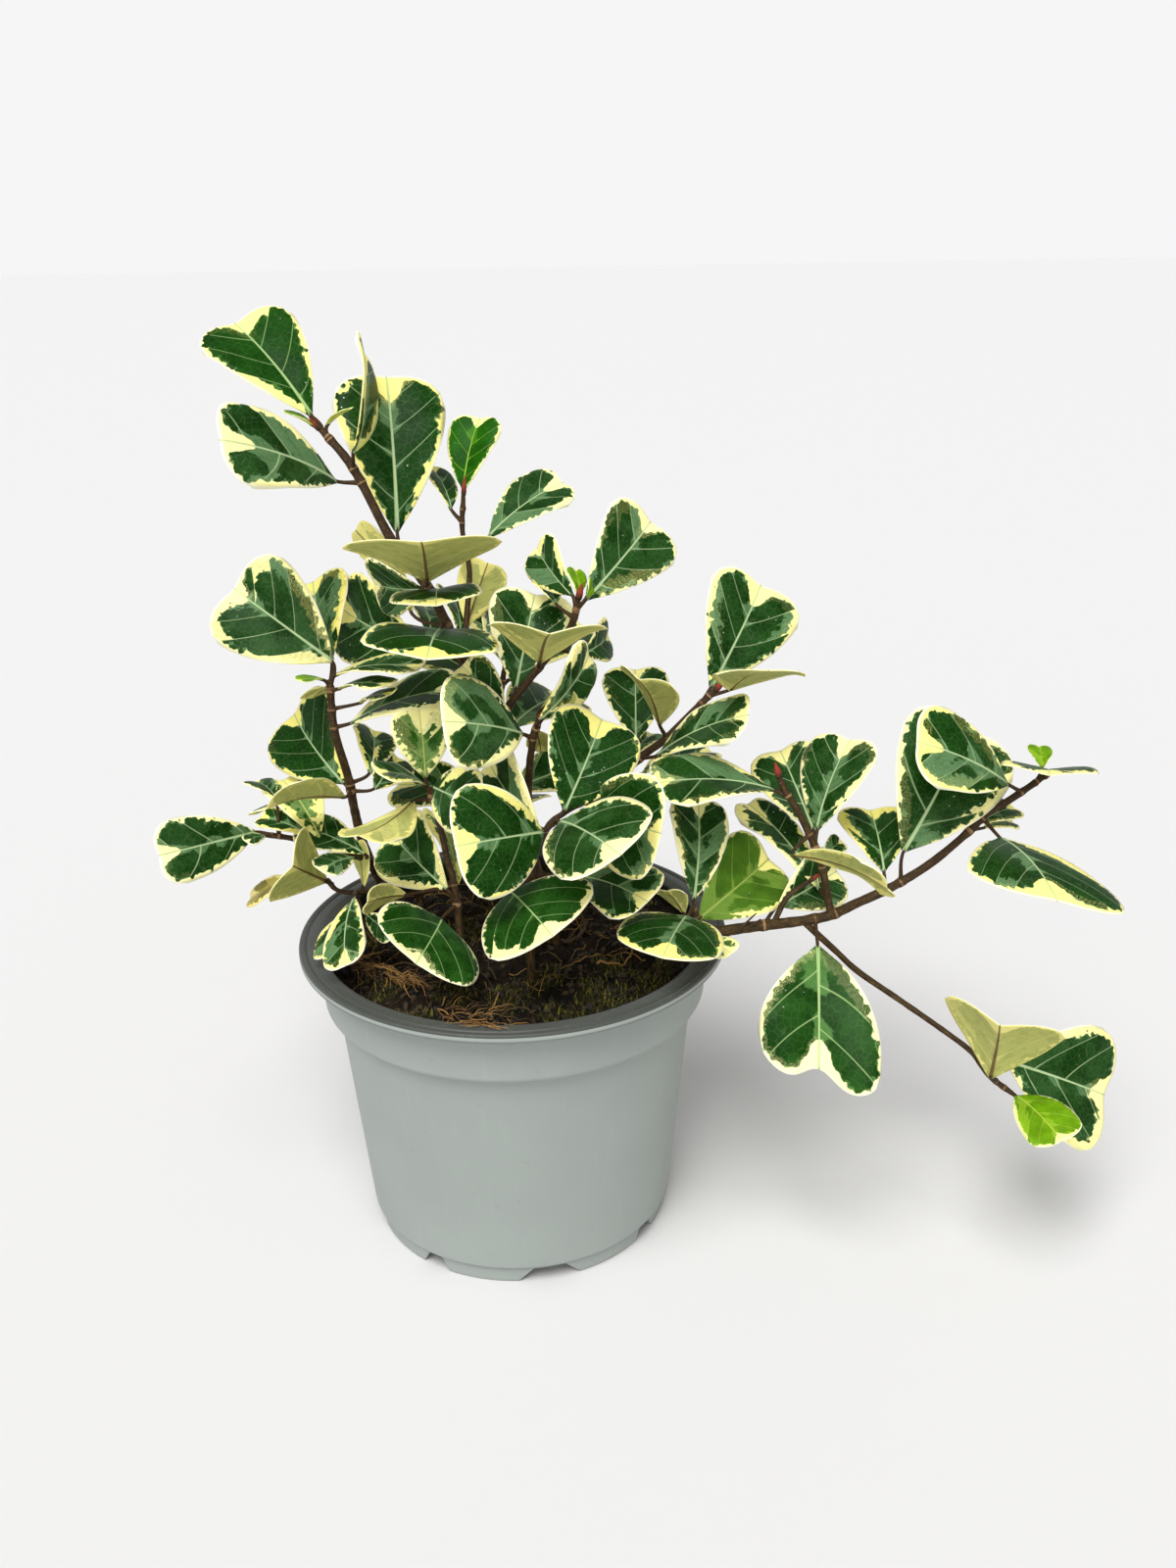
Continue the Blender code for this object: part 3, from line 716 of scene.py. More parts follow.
    def material(self) -> bpy.types.Material:
        """Make the leaf's material.

        Returns:
            The material.
        """
        graph = Graph("leaf_" + self.look.value)
        marks = LeafMarks(graph)
        depth = self.cream_depth(graph, marks)
        cream = graph.fall(marks.edge, graph.add(depth, -0.12), graph.add(depth, 0.12))
        grey = self.grey_patches(graph, marks, depth)
        under = graph.number("under")
        graph.set("Base Color", graph.blend(under, self.upper_face(graph, marks, cream, grey),
                                            self.lower_face(graph, marks, cream, grey)))
        graph.set("Roughness", graph.add(self.roughness, graph.times(under, 0.2),
                                         graph.times(marks.fine, 0.12)))
        graph.set("Specular IOR Level", self.specular)
        graph.set("Subsurface Weight", self.translucence)
        graph.set("Subsurface Radius", self.light_reach)
        graph.set("Subsurface Scale", 1.0)
        relief = graph.add(graph.times(marks.side_vein, -0.5), graph.times(marks.midrib, -0.8),
                           graph.times(marks.fine, 0.2), graph.times(marks.net, -0.5),
                           graph.times(marks.ragged, 0.5))
        graph.bump(relief, self.relief_depth, 0.7)
        return graph.material


LEAF_FINISHES = (
    LeafFinish(Look.MATURE, tone(12, 58, 0), tone(92, 126, 82), tone(250, 238, 124), tone(255, 252, 218),
               tone(178, 200, 148), tone(176, 178, 102), tone(236, 226, 138), 1.15, 0.14),
    LeafFinish(Look.DEEP, tone(14, 64, 0), tone(80, 122, 60), tone(250, 240, 128), tone(255, 252, 218),
               tone(166, 196, 128), tone(176, 178, 102), tone(236, 226, 138), 0.95, 0.02),
    LeafFinish(Look.FRESH, tone(20, 82, 0), tone(60, 118, 14), tone(240, 236, 130), tone(248, 247, 196),
               tone(150, 190, 74), tone(170, 188, 84), tone(226, 226, 130), 0.7, 0.08),
    LeafFinish(Look.YOUNG, tone(102, 150, 8), tone(134, 172, 34), tone(238, 238, 140), tone(250, 250, 206),
               tone(186, 208, 88), tone(196, 206, 96), tone(226, 228, 132), 0.42, 0.12),
    LeafFinish(Look.CREAM, tone(34, 84, 12), tone(112, 144, 78), tone(249, 239, 134), tone(254, 251, 210),
               tone(198, 204, 118), tone(190, 188, 110), tone(240, 230, 144), 2.8, 0.4),
    LeafFinish(Look.OLIVE, tone(68, 106, 24), tone(104, 134, 52), tone(240, 232, 130), tone(248, 245, 200),
               tone(146, 166, 80), tone(190, 192, 108), tone(232, 222, 136), 0.8, 0.3),
    LeafFinish(Look.FADED, tone(128, 120, 52), tone(176, 164, 84), tone(230, 210, 118), tone(238, 226, 160),
               tone(150, 120, 70), tone(180, 166, 92), tone(218, 200, 118), 1.8, 0.5),
)


@dataclass(frozen=True)
class BarkFinish:
    """Brown bark with lengthwise streaks, pale pores, and tan scars where leaves join.

    The stem's points carry ring, the distance to the nearest leaf joint, tip, which is 1 at a shoot's tip,
    round, the way round the stem, and run, the distance along it.
    """

    bark: Colour = tone(44, 32, 12)
    streak: Colour = tone(84, 64, 32)
    scar: Colour = tone(150, 116, 80)
    fresh: Colour = tone(58, 40, 26)
    bud: Colour = tone(138, 52, 38)

    def material(self) -> bpy.types.Material:
        """Make the bark's material.

        Returns:
            The material.
        """
        graph = Graph("bark")
        ring, tip, run = graph.number("ring"), graph.number("tip"), graph.number("run")
        place = graph.place()
        lengthwise = graph.vector(graph.times(graph.number("round"), 3.0), graph.times(run, 0.12), 0.0)
        streaks = graph.noise(lengthwise, 2.2, 3.0)
        grain = graph.noise(place, 900.0, 3.0)
        colour = graph.blend(graph.rise(streaks, -0.12, 0.22), self.bark, self.streak)
        colour = graph.blend(graph.times(tip, 0.6), colour, self.fresh)
        pores = graph.fall(graph.cells(place, 700.0), 0.12, 0.2)
        colour = graph.blend(graph.times(pores, 0.45), colour, self.scar)
        band = graph.fall(graph.add(ring, graph.times(grain, 0.5)), 0.25, 0.65)
        colour = graph.blend(graph.times(band, 0.9), colour, self.scar)
        colour = graph.blend(graph.number("bud"), colour, self.bud)
        graph.set("Base Color", colour)
        graph.set("Roughness", graph.add(0.62, graph.times(grain, 0.25)))
        graph.set("Specular IOR Level", 0.2)
        graph.bump(graph.add(graph.times(streaks, 0.9), graph.times(grain, 0.8), graph.times(pores, 0.5),
                             graph.times(band, 0.6)), 0.0003, 0.8)
        return graph.material


@dataclass(frozen=True)
class PlasticFinish:
    """Moulded nursery-pot plastic: fine speckle, drifting sheen, faint scuffs and a little dirt.

    Painted shade: below the rim's top face it darkens by the share shadow, and a dark line lies at each
    crease's height.
    """

    name: str
    colour: Colour
    dirt: Colour
    dirt_share: float
    roughness: float
    shadow: float = 0.0
    creases: tuple[float, ...] = ()
    scuff: Colour = (0.62, 0.64, 0.62, 1.0)
    deep_shadow: Colour = tone(16, 17, 14)
    crease_shade: Colour = tone(84, 86, 80)

    def dirt_at(self, graph: Graph, place: Socket) -> Socket:
        """Where dirt clings: sparse specks and cloudy smears.

        Args:
            graph: The plastic's graph.
            place: Object coordinates.

        Returns:
            The share of dirt.
        """
        specks = graph.fall(graph.cells(place, 260.0), 0.05, 0.10)
        sparse = graph.rise(graph.noise(place, 70.0, 2.0), 0.10, 0.2)
        smears = graph.rise(graph.noise(place, 240.0, 4.0), 0.16, 0.3)
        return graph.times(graph.add(graph.times(specks, sparse, 2.2), smears), self.dirt_share)

    def material(self) -> bpy.types.Material:
        """Make the plastic's material.

        Returns:
            The material.
        """
        graph = Graph(self.name)
        place = graph.place()
        cloud = graph.noise(place, 18.0, 3.0)
        speckle = graph.noise(place, 2600.0, 2.0)
        drag = graph.noise(graph.squeezed(place, (1.0, 1.0, 0.08)), 420.0, 3.0)
        shade = graph.blend(graph.rise(cloud, -0.25, 0.25), self.colour, dimmed(self.colour, 0.93))
        shade = graph.blend(graph.times(graph.rise(drag, 0.05, 0.3), 0.04), shade, self.scuff)
        dirt = self.dirt_at(graph, place)
        shade = graph.blend(dirt, shade, self.dirt)
        height = graph.height(place)
        # Painted shadow: below the rim's top face the colour darkens towards deep_shadow by the share shadow.
        below_rim = graph.fall(height, (POT_HEIGHT - 3.2) * MM, (POT_HEIGHT - 1.0) * MM)
        shade = graph.blend(graph.times(below_rim, self.shadow), shade, self.deep_shadow)
        # Painted shade: a dark line at each crease's height, where the step shades the plastic.
        for level in self.creases:
            off = graph.maths("ABSOLUTE", graph.add(height, -level * MM))
            line = graph.fall(off, 0.25 * MM, 0.8 * MM)
            shade = graph.blend(graph.times(line, 0.6), shade, self.crease_shade)
        graph.set("Base Color", shade)
        graph.set("Roughness", graph.add(self.roughness, graph.times(cloud, 0.12), graph.times(speckle, 0.10),
                                         graph.times(dirt, 0.25)))
        graph.set("Specular IOR Level", 0.3)
        graph.bump(graph.add(graph.times(speckle, 0.35), graph.times(cloud, 0.6), graph.times(drag, 0.15)),
                   0.00012, 0.6)
        return graph.material


@dataclass(frozen=True)
class SoilFinish:
    """Damp peat: near black to brown crumbs, with olive moss where the point value moss is high."""

    dark: Colour = tone(10, 6, 2)
    brown: Colour = tone(38, 26, 11)
    tan: Colour = tone(84, 62, 26)
    moss: Colour = tone(14, 16, 2)
    bright_moss: Colour = tone(64, 60, 10)

    def material(self) -> bpy.types.Material:
        """Make the soil's material.

        Returns:
            The material.
        """
        graph = Graph("potting_soil")
        place = graph.place()
        lumps = graph.noise(place, 210.0, 4.0)
        crumbs = graph.cells(place, 560.0)
        fine = graph.noise(place, 1500.0, 3.0)
        colour = graph.blend(graph.rise(lumps, -0.15, 0.2), self.dark, self.brown)
        colour = graph.blend(graph.times(graph.rise(fine, 0.12, 0.28), 0.45), colour, self.tan)
        green = graph.blend(graph.rise(fine, -0.1, 0.2), self.moss, self.bright_moss)
        mossy = graph.rise(graph.add(graph.number("moss"), graph.times(lumps, 1.2)), 0.45, 0.62)
        graph.set("Base Color", graph.blend(mossy, colour, green))
        graph.set("Roughness", 0.92)
        graph.set("Specular IOR Level", 0.25)
        graph.bump(graph.add(graph.times(crumbs, -0.8), fine), 0.0009, 0.9)
        return graph.material


@dataclass(frozen=True)
class LitterFinish:
    """Chips, fibres or moss shoots: one tint that changes from bit to bit by the point value shade."""

    name: str
    low: Colour
    high: Colour

    def material(self) -> bpy.types.Material:
        """Make the litter's material.

        Returns:
            The material.
        """
        graph = Graph(self.name)
        grain = graph.noise(graph.place(), 1100.0, 3.0)
        share = graph.add(graph.number("shade"), graph.times(grain, 0.7))
        graph.set("Base Color", graph.blend(graph.rise(share, 0.0, 1.0), self.low, self.high))
        graph.set("Roughness", 0.8)
        graph.bump(grain, 0.0004, 0.6)
        return graph.material


@dataclass(frozen=True)
class Shoot:
    """A stem or side shoot: points from root to tip, a radius at both ends, and its end bud's length or 0."""

    points: tuple[tuple[float, float, float], ...]
    root_radius: float
    tip_radius: float
    bud: float = 0.0


@dataclass(frozen=True)
class Leaf:
    """A leaf: where its blade starts, where its midrib points, how the blade lies, and its look.

    heading turns from +X towards +Y, rise is above the horizontal, roll turns the blade clockwise about
    its midrib, seen from its base, and fold lifts both halves of the blade from the midrib.  skew lengthens
    one half, notch is the notch's depth as a share of the length, and belly rounds the sides out.
    """

    x: float
    y: float
    z: float
    heading: float
    rise: float
    roll: float
    length: float
    width: float
    fold: float = 10.0
    skew: float = 0.0
    notch: float = 0.035
    belly: float = 0.3
    look: Look = Look.MATURE

    def frame(self) -> tuple[Array, Array, Array, Array]:
        """Where the blade starts and how it lies.

        Returns:
            The blade's base, and its directions along the midrib, across it and out of its upper face.
        """
        heading, rise, roll = radians(self.heading), radians(self.rise), radians(self.roll)
        along = np.array([np.cos(heading) * np.cos(rise), np.sin(heading) * np.cos(rise), np.sin(rise)])
        level = np.array([np.sin(heading), -np.cos(heading), 0.0])
        upper = np.cross(level, along)
        across = level * np.cos(roll) - upper * np.sin(roll)
        upward = upper * np.cos(roll) + level * np.sin(roll)
        return np.array([self.x, self.y, self.z]), along, across, upward

    def flat_place(self, side: Array, part: Array) -> tuple[Array, Array]:
        """Where a point of the blade lies when the blade is pressed flat.

        With s = 0.88 part and b the belly, the half width is half the leaf's width times
        0.03 + (1.75 + b) s - (0.76 + 1.14 b) s squared.  The reach along the midrib is length times part
        times a top line: 0.80 + 0.22 sqrt(1 - |side| cubed), less the notch, which fades as a bell curve
        off the midrib, plus the skew.

        Args:
            side: From -1 to 1 across the blade.
            part: From 0 to 1 along it.

        Returns:
            The distance across from the midrib and the distance along it.
        """
        shoulder = 0.88 * part
        half_width = 0.5 * self.width * (0.03 + (1.75 + self.belly) * shoulder
                                         - (0.76 + 1.14 * self.belly) * shoulder ** 2)
        top = 0.80 + 0.22 * np.sqrt(np.maximum(1.0 - np.abs(side) ** 3, 0.0))
        top = top - self.notch * np.exp(-(side / 0.35) ** 2)
        return side * half_width, self.length * part * (top + self.skew * side * part)

    def surface(self, side: Array, part: Array, seed: float) -> Array:
        """Middle surface of the blade: the flat place, folded up from the midrib, arched and waved.

        The arch is 0.07 of the length times 4 part (1 - part).  The wave is 0.016 of the length times side
        squared times part, on a sine that turns with part.  The rim curls down by 0.018 of the width times
        the fourth power of side.  The side veins sink channels, a sine of the sector of 0.004 of the length.

        Args:
            side: From -1 to 1 across the blade.
            part: From 0 to 1 along it.
            seed: Turns the wave.

        Returns:
            Places, in millimetres.
        """
        base, along, across, upward = self.frame()
        spread, reach = self.flat_place(side, part)
        fold = radians(self.fold)
        arch = 0.07 * self.length * 4.0 * part * (1.0 - part)
        wave = 0.016 * self.length * side ** 2 * np.sin(7.0 * part + 2.6 * side + seed) * part
        curl = -0.018 * self.width * side ** 4
        channels = np.sin(2.0 * np.pi * self.sector(side, part, seed))
        quilt = 0.004 * self.length * channels * np.abs(side) * (1.0 - part ** 4)
        lift = np.abs(spread) * np.sin(fold) + arch + wave + curl + quilt
        return (base + along * reach[..., None] + across * (spread * np.cos(fold))[..., None]
                + upward * lift[..., None])

    def sector(self, side: Array, part: Array, seed: float) -> Array:
        """Count of side veins: whole numbers lie on them.

        The count is the reach along the midrib, less 0.7 of the distance from it, less 0.7 of that distance
        squared over the length, all over 0.22 to 0.32 of the length, by the seed.  The two sides' veins
        alternate, and a slow wave makes their spacing uneven.

        Args:
            side: From -1 to 1 across the blade.
            part: From 0 to 1 along it.
            seed: Picks the spacing and turns the wave.

        Returns:
            The count at each place.
        """
        spread, reach = self.flat_place(side, part)
        away = np.abs(spread)
        spacing = (0.27 + 0.05 * np.sin(seed * 3.1)) * self.length
        count = (reach - 0.7 * away - 0.7 * away ** 2 / self.length) / spacing
        return count + 0.16 * np.sign(side) + 0.3 + 0.10 * np.sin(1.7 * count + 2.0 * side + seed)

    def outline_distance(self, spread: Array, reach: Array) -> Array:
        """Distance from places on the flat blade to its outline.

        The outline is sampled finely on both sides and the top, and the nearest sample counts.

        Args:
            spread: Distances across from the midrib.
            reach: Distances along it.

        Returns:
            The distances, in millimetres.
        """
        up = np.linspace(0.06, 1.0, 90)
        over = np.linspace(-1.0, 1.0, 160)
        sides = np.concatenate([np.full(len(up), -1.0), np.full(len(up), 1.0), over])
        parts = np.concatenate([up, up, np.ones(len(over))])
        rim = np.stack(self.flat_place(sides, parts), axis=-1)
        places = np.stack([spread.ravel(), reach.ravel()], axis=-1)
        gaps = np.linalg.norm(places[:, None, :] - rim[None, :, :], axis=-1)
        return gaps.min(axis=1).reshape(spread.shape)


@dataclass
class LeafMaker:
    """Makes one leaf as its own piece: a thin blade with a raised midrib below, and its round stalk."""

    finishes: dict[Look, bpy.types.Material]
    stalk_finish: bpy.types.Material
    thickness: float = 0.55
    columns: int = 33
    rows: int = 26
    pattern_length: float = 40.0
    rib_height: float = 0.55
    stalk_radius: float = 0.78
    stalk_rings: int = 12
    stalk_sides: int = 10

    def normal(self, leaf: Leaf, side: Array, part: Array, seed: float) -> Array:
        """Direction out of the blade's upper face: square to two short steps on the middle surface.

        Args:
            leaf: The leaf's row in the table.
            side: From -1 to 1 across the blade.
            part: From 0 to 1 along it.
            seed: Turns the leaf's wave.

        Returns:
            One direction for each place.
        """
        small = 1e-3
        over = leaf.surface(side + small, part, seed) - leaf.surface(side - small, part, seed)
        up = leaf.surface(side, part + small, seed) - leaf.surface(side, part - small, seed)
        return unit(np.cross(over, up))

    def blade(self, piece: Piece, leaf: Leaf, seed: float) -> None:
        """Add the blade: upper and lower faces half a thickness from the middle surface, and a rounded rim.

        The lower face bulges along the midrib by a bell curve that fades towards the notch.

        Args:
            piece: The leaf's piece.
            leaf: The leaf's row in the table.
            seed: Picks the leaf's pattern.
        """
        steps = np.linspace(-1.0, 1.0, self.columns)
        side_row = np.sign(steps) * np.abs(steps) ** 1.35
        part_column = np.linspace(0.0, 1.0, self.rows) ** 0.9
        side, part = np.meshgrid(side_row, part_column)
        middle = leaf.surface(side, part, seed)
        normal = self.normal(leaf, side, part, seed)
        spread, reach = leaf.flat_place(side, part)
        away = leaf.outline_distance(spread, reach)
        half = 0.5 * self.thickness * (0.45 + 0.55 * smooth_step(away, 0.0, 0.8))
        rib = self.rib_height * np.exp(-(spread / 0.55) ** 2) * (1.0 - part ** 2)
        scale = self.pattern_length / leaf.length
        numbers = {
            "edge": away * scale + 1.4 * (1.0 - smooth_step(part, 0.05, 0.35)),
            "rib": np.abs(spread) * scale * (0.75 + 0.9 * part),
            "sector": leaf.sector(side, part, seed),
            "wedge": np.exp(-(spread / (0.095 * leaf.width)) ** 2) * smooth_step(part, 0.5, 0.95),
            "across": spread * scale,
            "along": reach * scale,
            "seed": np.full(side.shape, seed),
        }
        upper = middle + normal * half[..., None]
        lower = middle - normal * (half + rib)[..., None]
        faces = grid_faces(self.rows, self.columns)
        count = self.rows * self.columns
        index = np.arange(count).reshape(self.rows, self.columns)
        loop = np.concatenate([index[0, :-1], index[:-1, -1], index[-1, :0:-1], index[:0:-1, 0]])
        following = np.roll(loop, -1)
        rim = np.stack([loop + count, following + count, following, loop], axis=1)
        both = {name: np.concatenate([value.ravel(), value.ravel()]) for name, value in numbers.items()}
        both["under"] = np.concatenate([np.zeros(count), np.ones(count)])
        points = np.concatenate([upper.reshape(-1, 3), lower.reshape(-1, 3)])
        piece.add(points, np.concatenate([faces, faces[:, ::-1] + count, rim]), 0, **both)

    def stalk(self, piece: Piece, leaf: Leaf, root: Array) -> None:
        """Add the stalk: a tube on a cubic Bezier curve from the stem to the blade, ending along the midrib.

        Args:
            piece: The leaf's piece.
            leaf: The leaf's row in the table.
            root: The place on the stem that the stalk grows from.
        """
        base, along, _, upward = leaf.frame()
        reach = float(np.linalg.norm(base - root))
        outward = unit(base - root)
        knots = (root, root + outward * reach * 0.35,
                 base - along * reach * 0.3 - upward * 0.3, base + along * 1.6)
        t = np.linspace(0.0, 1.0, self.stalk_rings)[:, None]
        path = ((1.0 - t) ** 3 * knots[0] + 3.0 * t * (1.0 - t) ** 2 * knots[1]
                + 3.0 * t ** 2 * (1.0 - t) * knots[2] + t ** 3 * knots[3])
        swell = 0.45 * np.exp(-run_length(path) / 2.2)
        slim = 0.8 + 0.2 * min(1.0, leaf.length / 30.0)
        radii = (self.stalk_radius * slim + swell) * np.linspace(1.0, 0.82, self.stalk_rings)
        points, faces = swept_tube(path, radii, self.stalk_sides)
        turn = np.arange(len(points)) % self.stalk_sides * 2.0 * np.pi / self.stalk_sides
        piece.add(points, faces, 1, ring=FAR_FROM_JOINT, tip=0.75, bud=0.0, round=np.sin(turn),
                  run=np.concatenate([np.repeat(run_length(path), self.stalk_sides), [0.0, reach]]))

    def make(self, name: str, leaf: Leaf, root: Array, seed: float) -> bpy.types.Object:
        """Make one leaf's piece.

        Args:
            name: The piece's name.
            leaf: The leaf's row in the table.
            root: The place on the stem that its stalk grows from.
            seed: Picks the leaf's pattern.

        Returns:
            The leaf's object.
        """
        piece = Piece(name)
        self.blade(piece, leaf, seed)
        self.stalk(piece, leaf, root)
        return piece.build([self.finishes[leaf.look], self.stalk_finish])


def nearest_on_shoots(place: Array, shoots: tuple[Shoot, ...], stop: float = 0.8) -> Array:
    """The point of the stem and its side shoots that is nearest to a place.

    Args:
        place: The place.
        shoots: The stem and its side shoots.
        stop: The greatest share of a stretch that is used, so that no leaf sits on its end.

    Returns:
        The nearest point.
    """
    found = []
    for shoot in shoots:
        points = np.asarray(shoot.points[1:], float)
        for start, end in zip(points, points[1:]):
            step = end - start
            found.append(start + step * float(np.clip((place - start) @ step / (step @ step), 0.0, stop)))
    return min(found, key=lambda point: float(np.linalg.norm(point - place)))


@dataclass
class LeafyStem:
    """One stem with its side shoots, dead twigs, buds and leaves.

    Its bark piece stands for the frame's node.
    """

    name: str
    shoots: tuple[Shoot, ...]
    leaves: tuple[Leaf, ...]
    bark: bpy.types.Material
    leaf_maker: LeafMaker
    seed: int
    twigs: tuple[Shoot, ...] = ()
    sides: int = 14
    ring_spacing: float = 0.9
    joint_swell: float = 0.2
    joint_width: float = 1.3
    knob_height: float = 0.05
    bud_rings: int = 14
    stalk_aim: float = 8.0

    def shoot(self, piece: Piece, shoot: Shoot, joints: Array) -> None:
        """Add a shoot: a tapered tube, swollen at each leaf joint by a bell curve of the distance to it.

        Args:
            piece: The stem's piece.
            shoot: The shoot's points and radii.
            joints: Places where leaves join the stem.
        """
        path = smooth_path(np.asarray(shoot.points), self.ring_spacing)
        run = run_length(path)
        share = run / run[-1]
        ring = np.linalg.norm(path[:, None, :] - joints[None, :, :], axis=-1).min(axis=1)
        plain = shoot.root_radius + (shoot.tip_radius - shoot.root_radius) * share
        knobs = self.knob_height * lattice_noise(run / 2.4, run * 0.0, self.seed)
        radii = plain * (1.0 + self.joint_swell * np.exp(-(ring / self.joint_width) ** 2) + knobs)
        radii = radii * np.where(share > 0.985, 0.8, 1.0)
        points, faces = swept_tube(path, radii, self.sides)
        tip = smooth_step(share, 0.35, 1.0)
        turn = np.sin(np.arange(self.sides) * 2.0 * np.pi / self.sides)
        piece.add(points, faces, 0,
                  ring=np.append(np.repeat(ring, self.sides), [FAR_FROM_JOINT, FAR_FROM_JOINT]),
                  tip=np.append(np.repeat(tip, self.sides), [tip[0], tip[-1]]),
                  run=np.append(np.repeat(run, self.sides), [0.0, run[-1]]),
                  round=np.append(np.tile(turn, len(path)), [0.0, 0.0]), bud=0.0)
        if shoot.bud > 0.0:
            self.bud(piece, path[-1], unit(path[-1] - path[-4]), shoot)

    def bud(self, piece: Piece, root: Array, along: Array, shoot: Shoot) -> None:
        """Add a pointed bud: a tube that leans as it runs.

        At share t of its length the radius is the shoot's tip radius, times 0.04 + 0.95 (cos of t quarter
        turns) to the power 0.8, times 1 + 0.25 sin of t half turns.

        Args:
            piece: The stem's piece.
            root: The shoot's tip.
            along: The shoot's direction there.
            shoot: The shoot's radii and its bud's length.
        """
        share = np.linspace(0.0, 1.0, self.bud_rings)
        lean = np.array([0.12, -0.08, 0.25])
        path = root + np.outer(share * shoot.bud, along) + np.outer(share ** 2 * shoot.bud * 0.25, lean)
        point = 0.95 * np.cos(share * np.pi / 2.0) ** 0.8 + 0.04
        radii = shoot.tip_radius * point * (1.0 + 0.25 * np.sin(share * np.pi))
        points, faces = swept_tube(path, radii, self.sides)
        piece.add(points, faces, 0, ring=FAR_FROM_JOINT, tip=1.0, run=0.0, round=0.0,
                  bud=np.append(np.repeat(smooth_step(share, 0.1, 0.5), self.sides), [0.0, 1.0]))

    def make(self) -> int:
        """Make the stem and its leaves.

        Returns:
            The number of leaves.
        """
        roots = []
        for leaf in self.leaves:
            base, along, _, _ = leaf.frame()
            roots.append(nearest_on_shoots(base - along * self.stalk_aim, self.shoots))
        piece = Piece(self.name + "_bark")
        for shoot in self.shoots + self.twigs:
            self.shoot(piece, shoot, np.array(roots))
        piece.build([self.bark], self.name)
        for index, (leaf, root) in enumerate(zip(self.leaves, roots)):
            self.leaf_maker.make(f"{self.name}_leaf_{index + 1}", leaf, root, self.seed * 17.3 + index * 1.77)
        return len(self.leaves)


def rounded(profile: list[tuple[float, float]], radius: float) -> Array:
    """Round the corners of a profile.

    Each corner gives way to a quadratic curve from a point before it to one after it: (1 - t) squared a
    + 2 t (1 - t) corner + t squared b.

    Args:
        profile: Corners as radius and height.
        radius: How far from the corner the curve starts, at most.

    Returns:
        Points of the rounded profile.
    """
    corners = np.asarray(profile, float)
    points = [corners[:1]]
    t = np.linspace(0.0, 1.0, 5)[:, None]
    for before, corner, after in zip(corners, corners[1:], corners[2:]):
        back, ahead = before - corner, after - corner
        start = corner + unit(back) * min(radius, 0.45 * float(np.linalg.norm(back)))
        end = corner + unit(ahead) * min(radius, 0.45 * float(np.linalg.norm(ahead)))
        points.append((1.0 - t) ** 2 * start + 2.0 * t * (1.0 - t) * corner + t ** 2 * end)
    points.append(corners[-1:])
    return np.vstack(points)


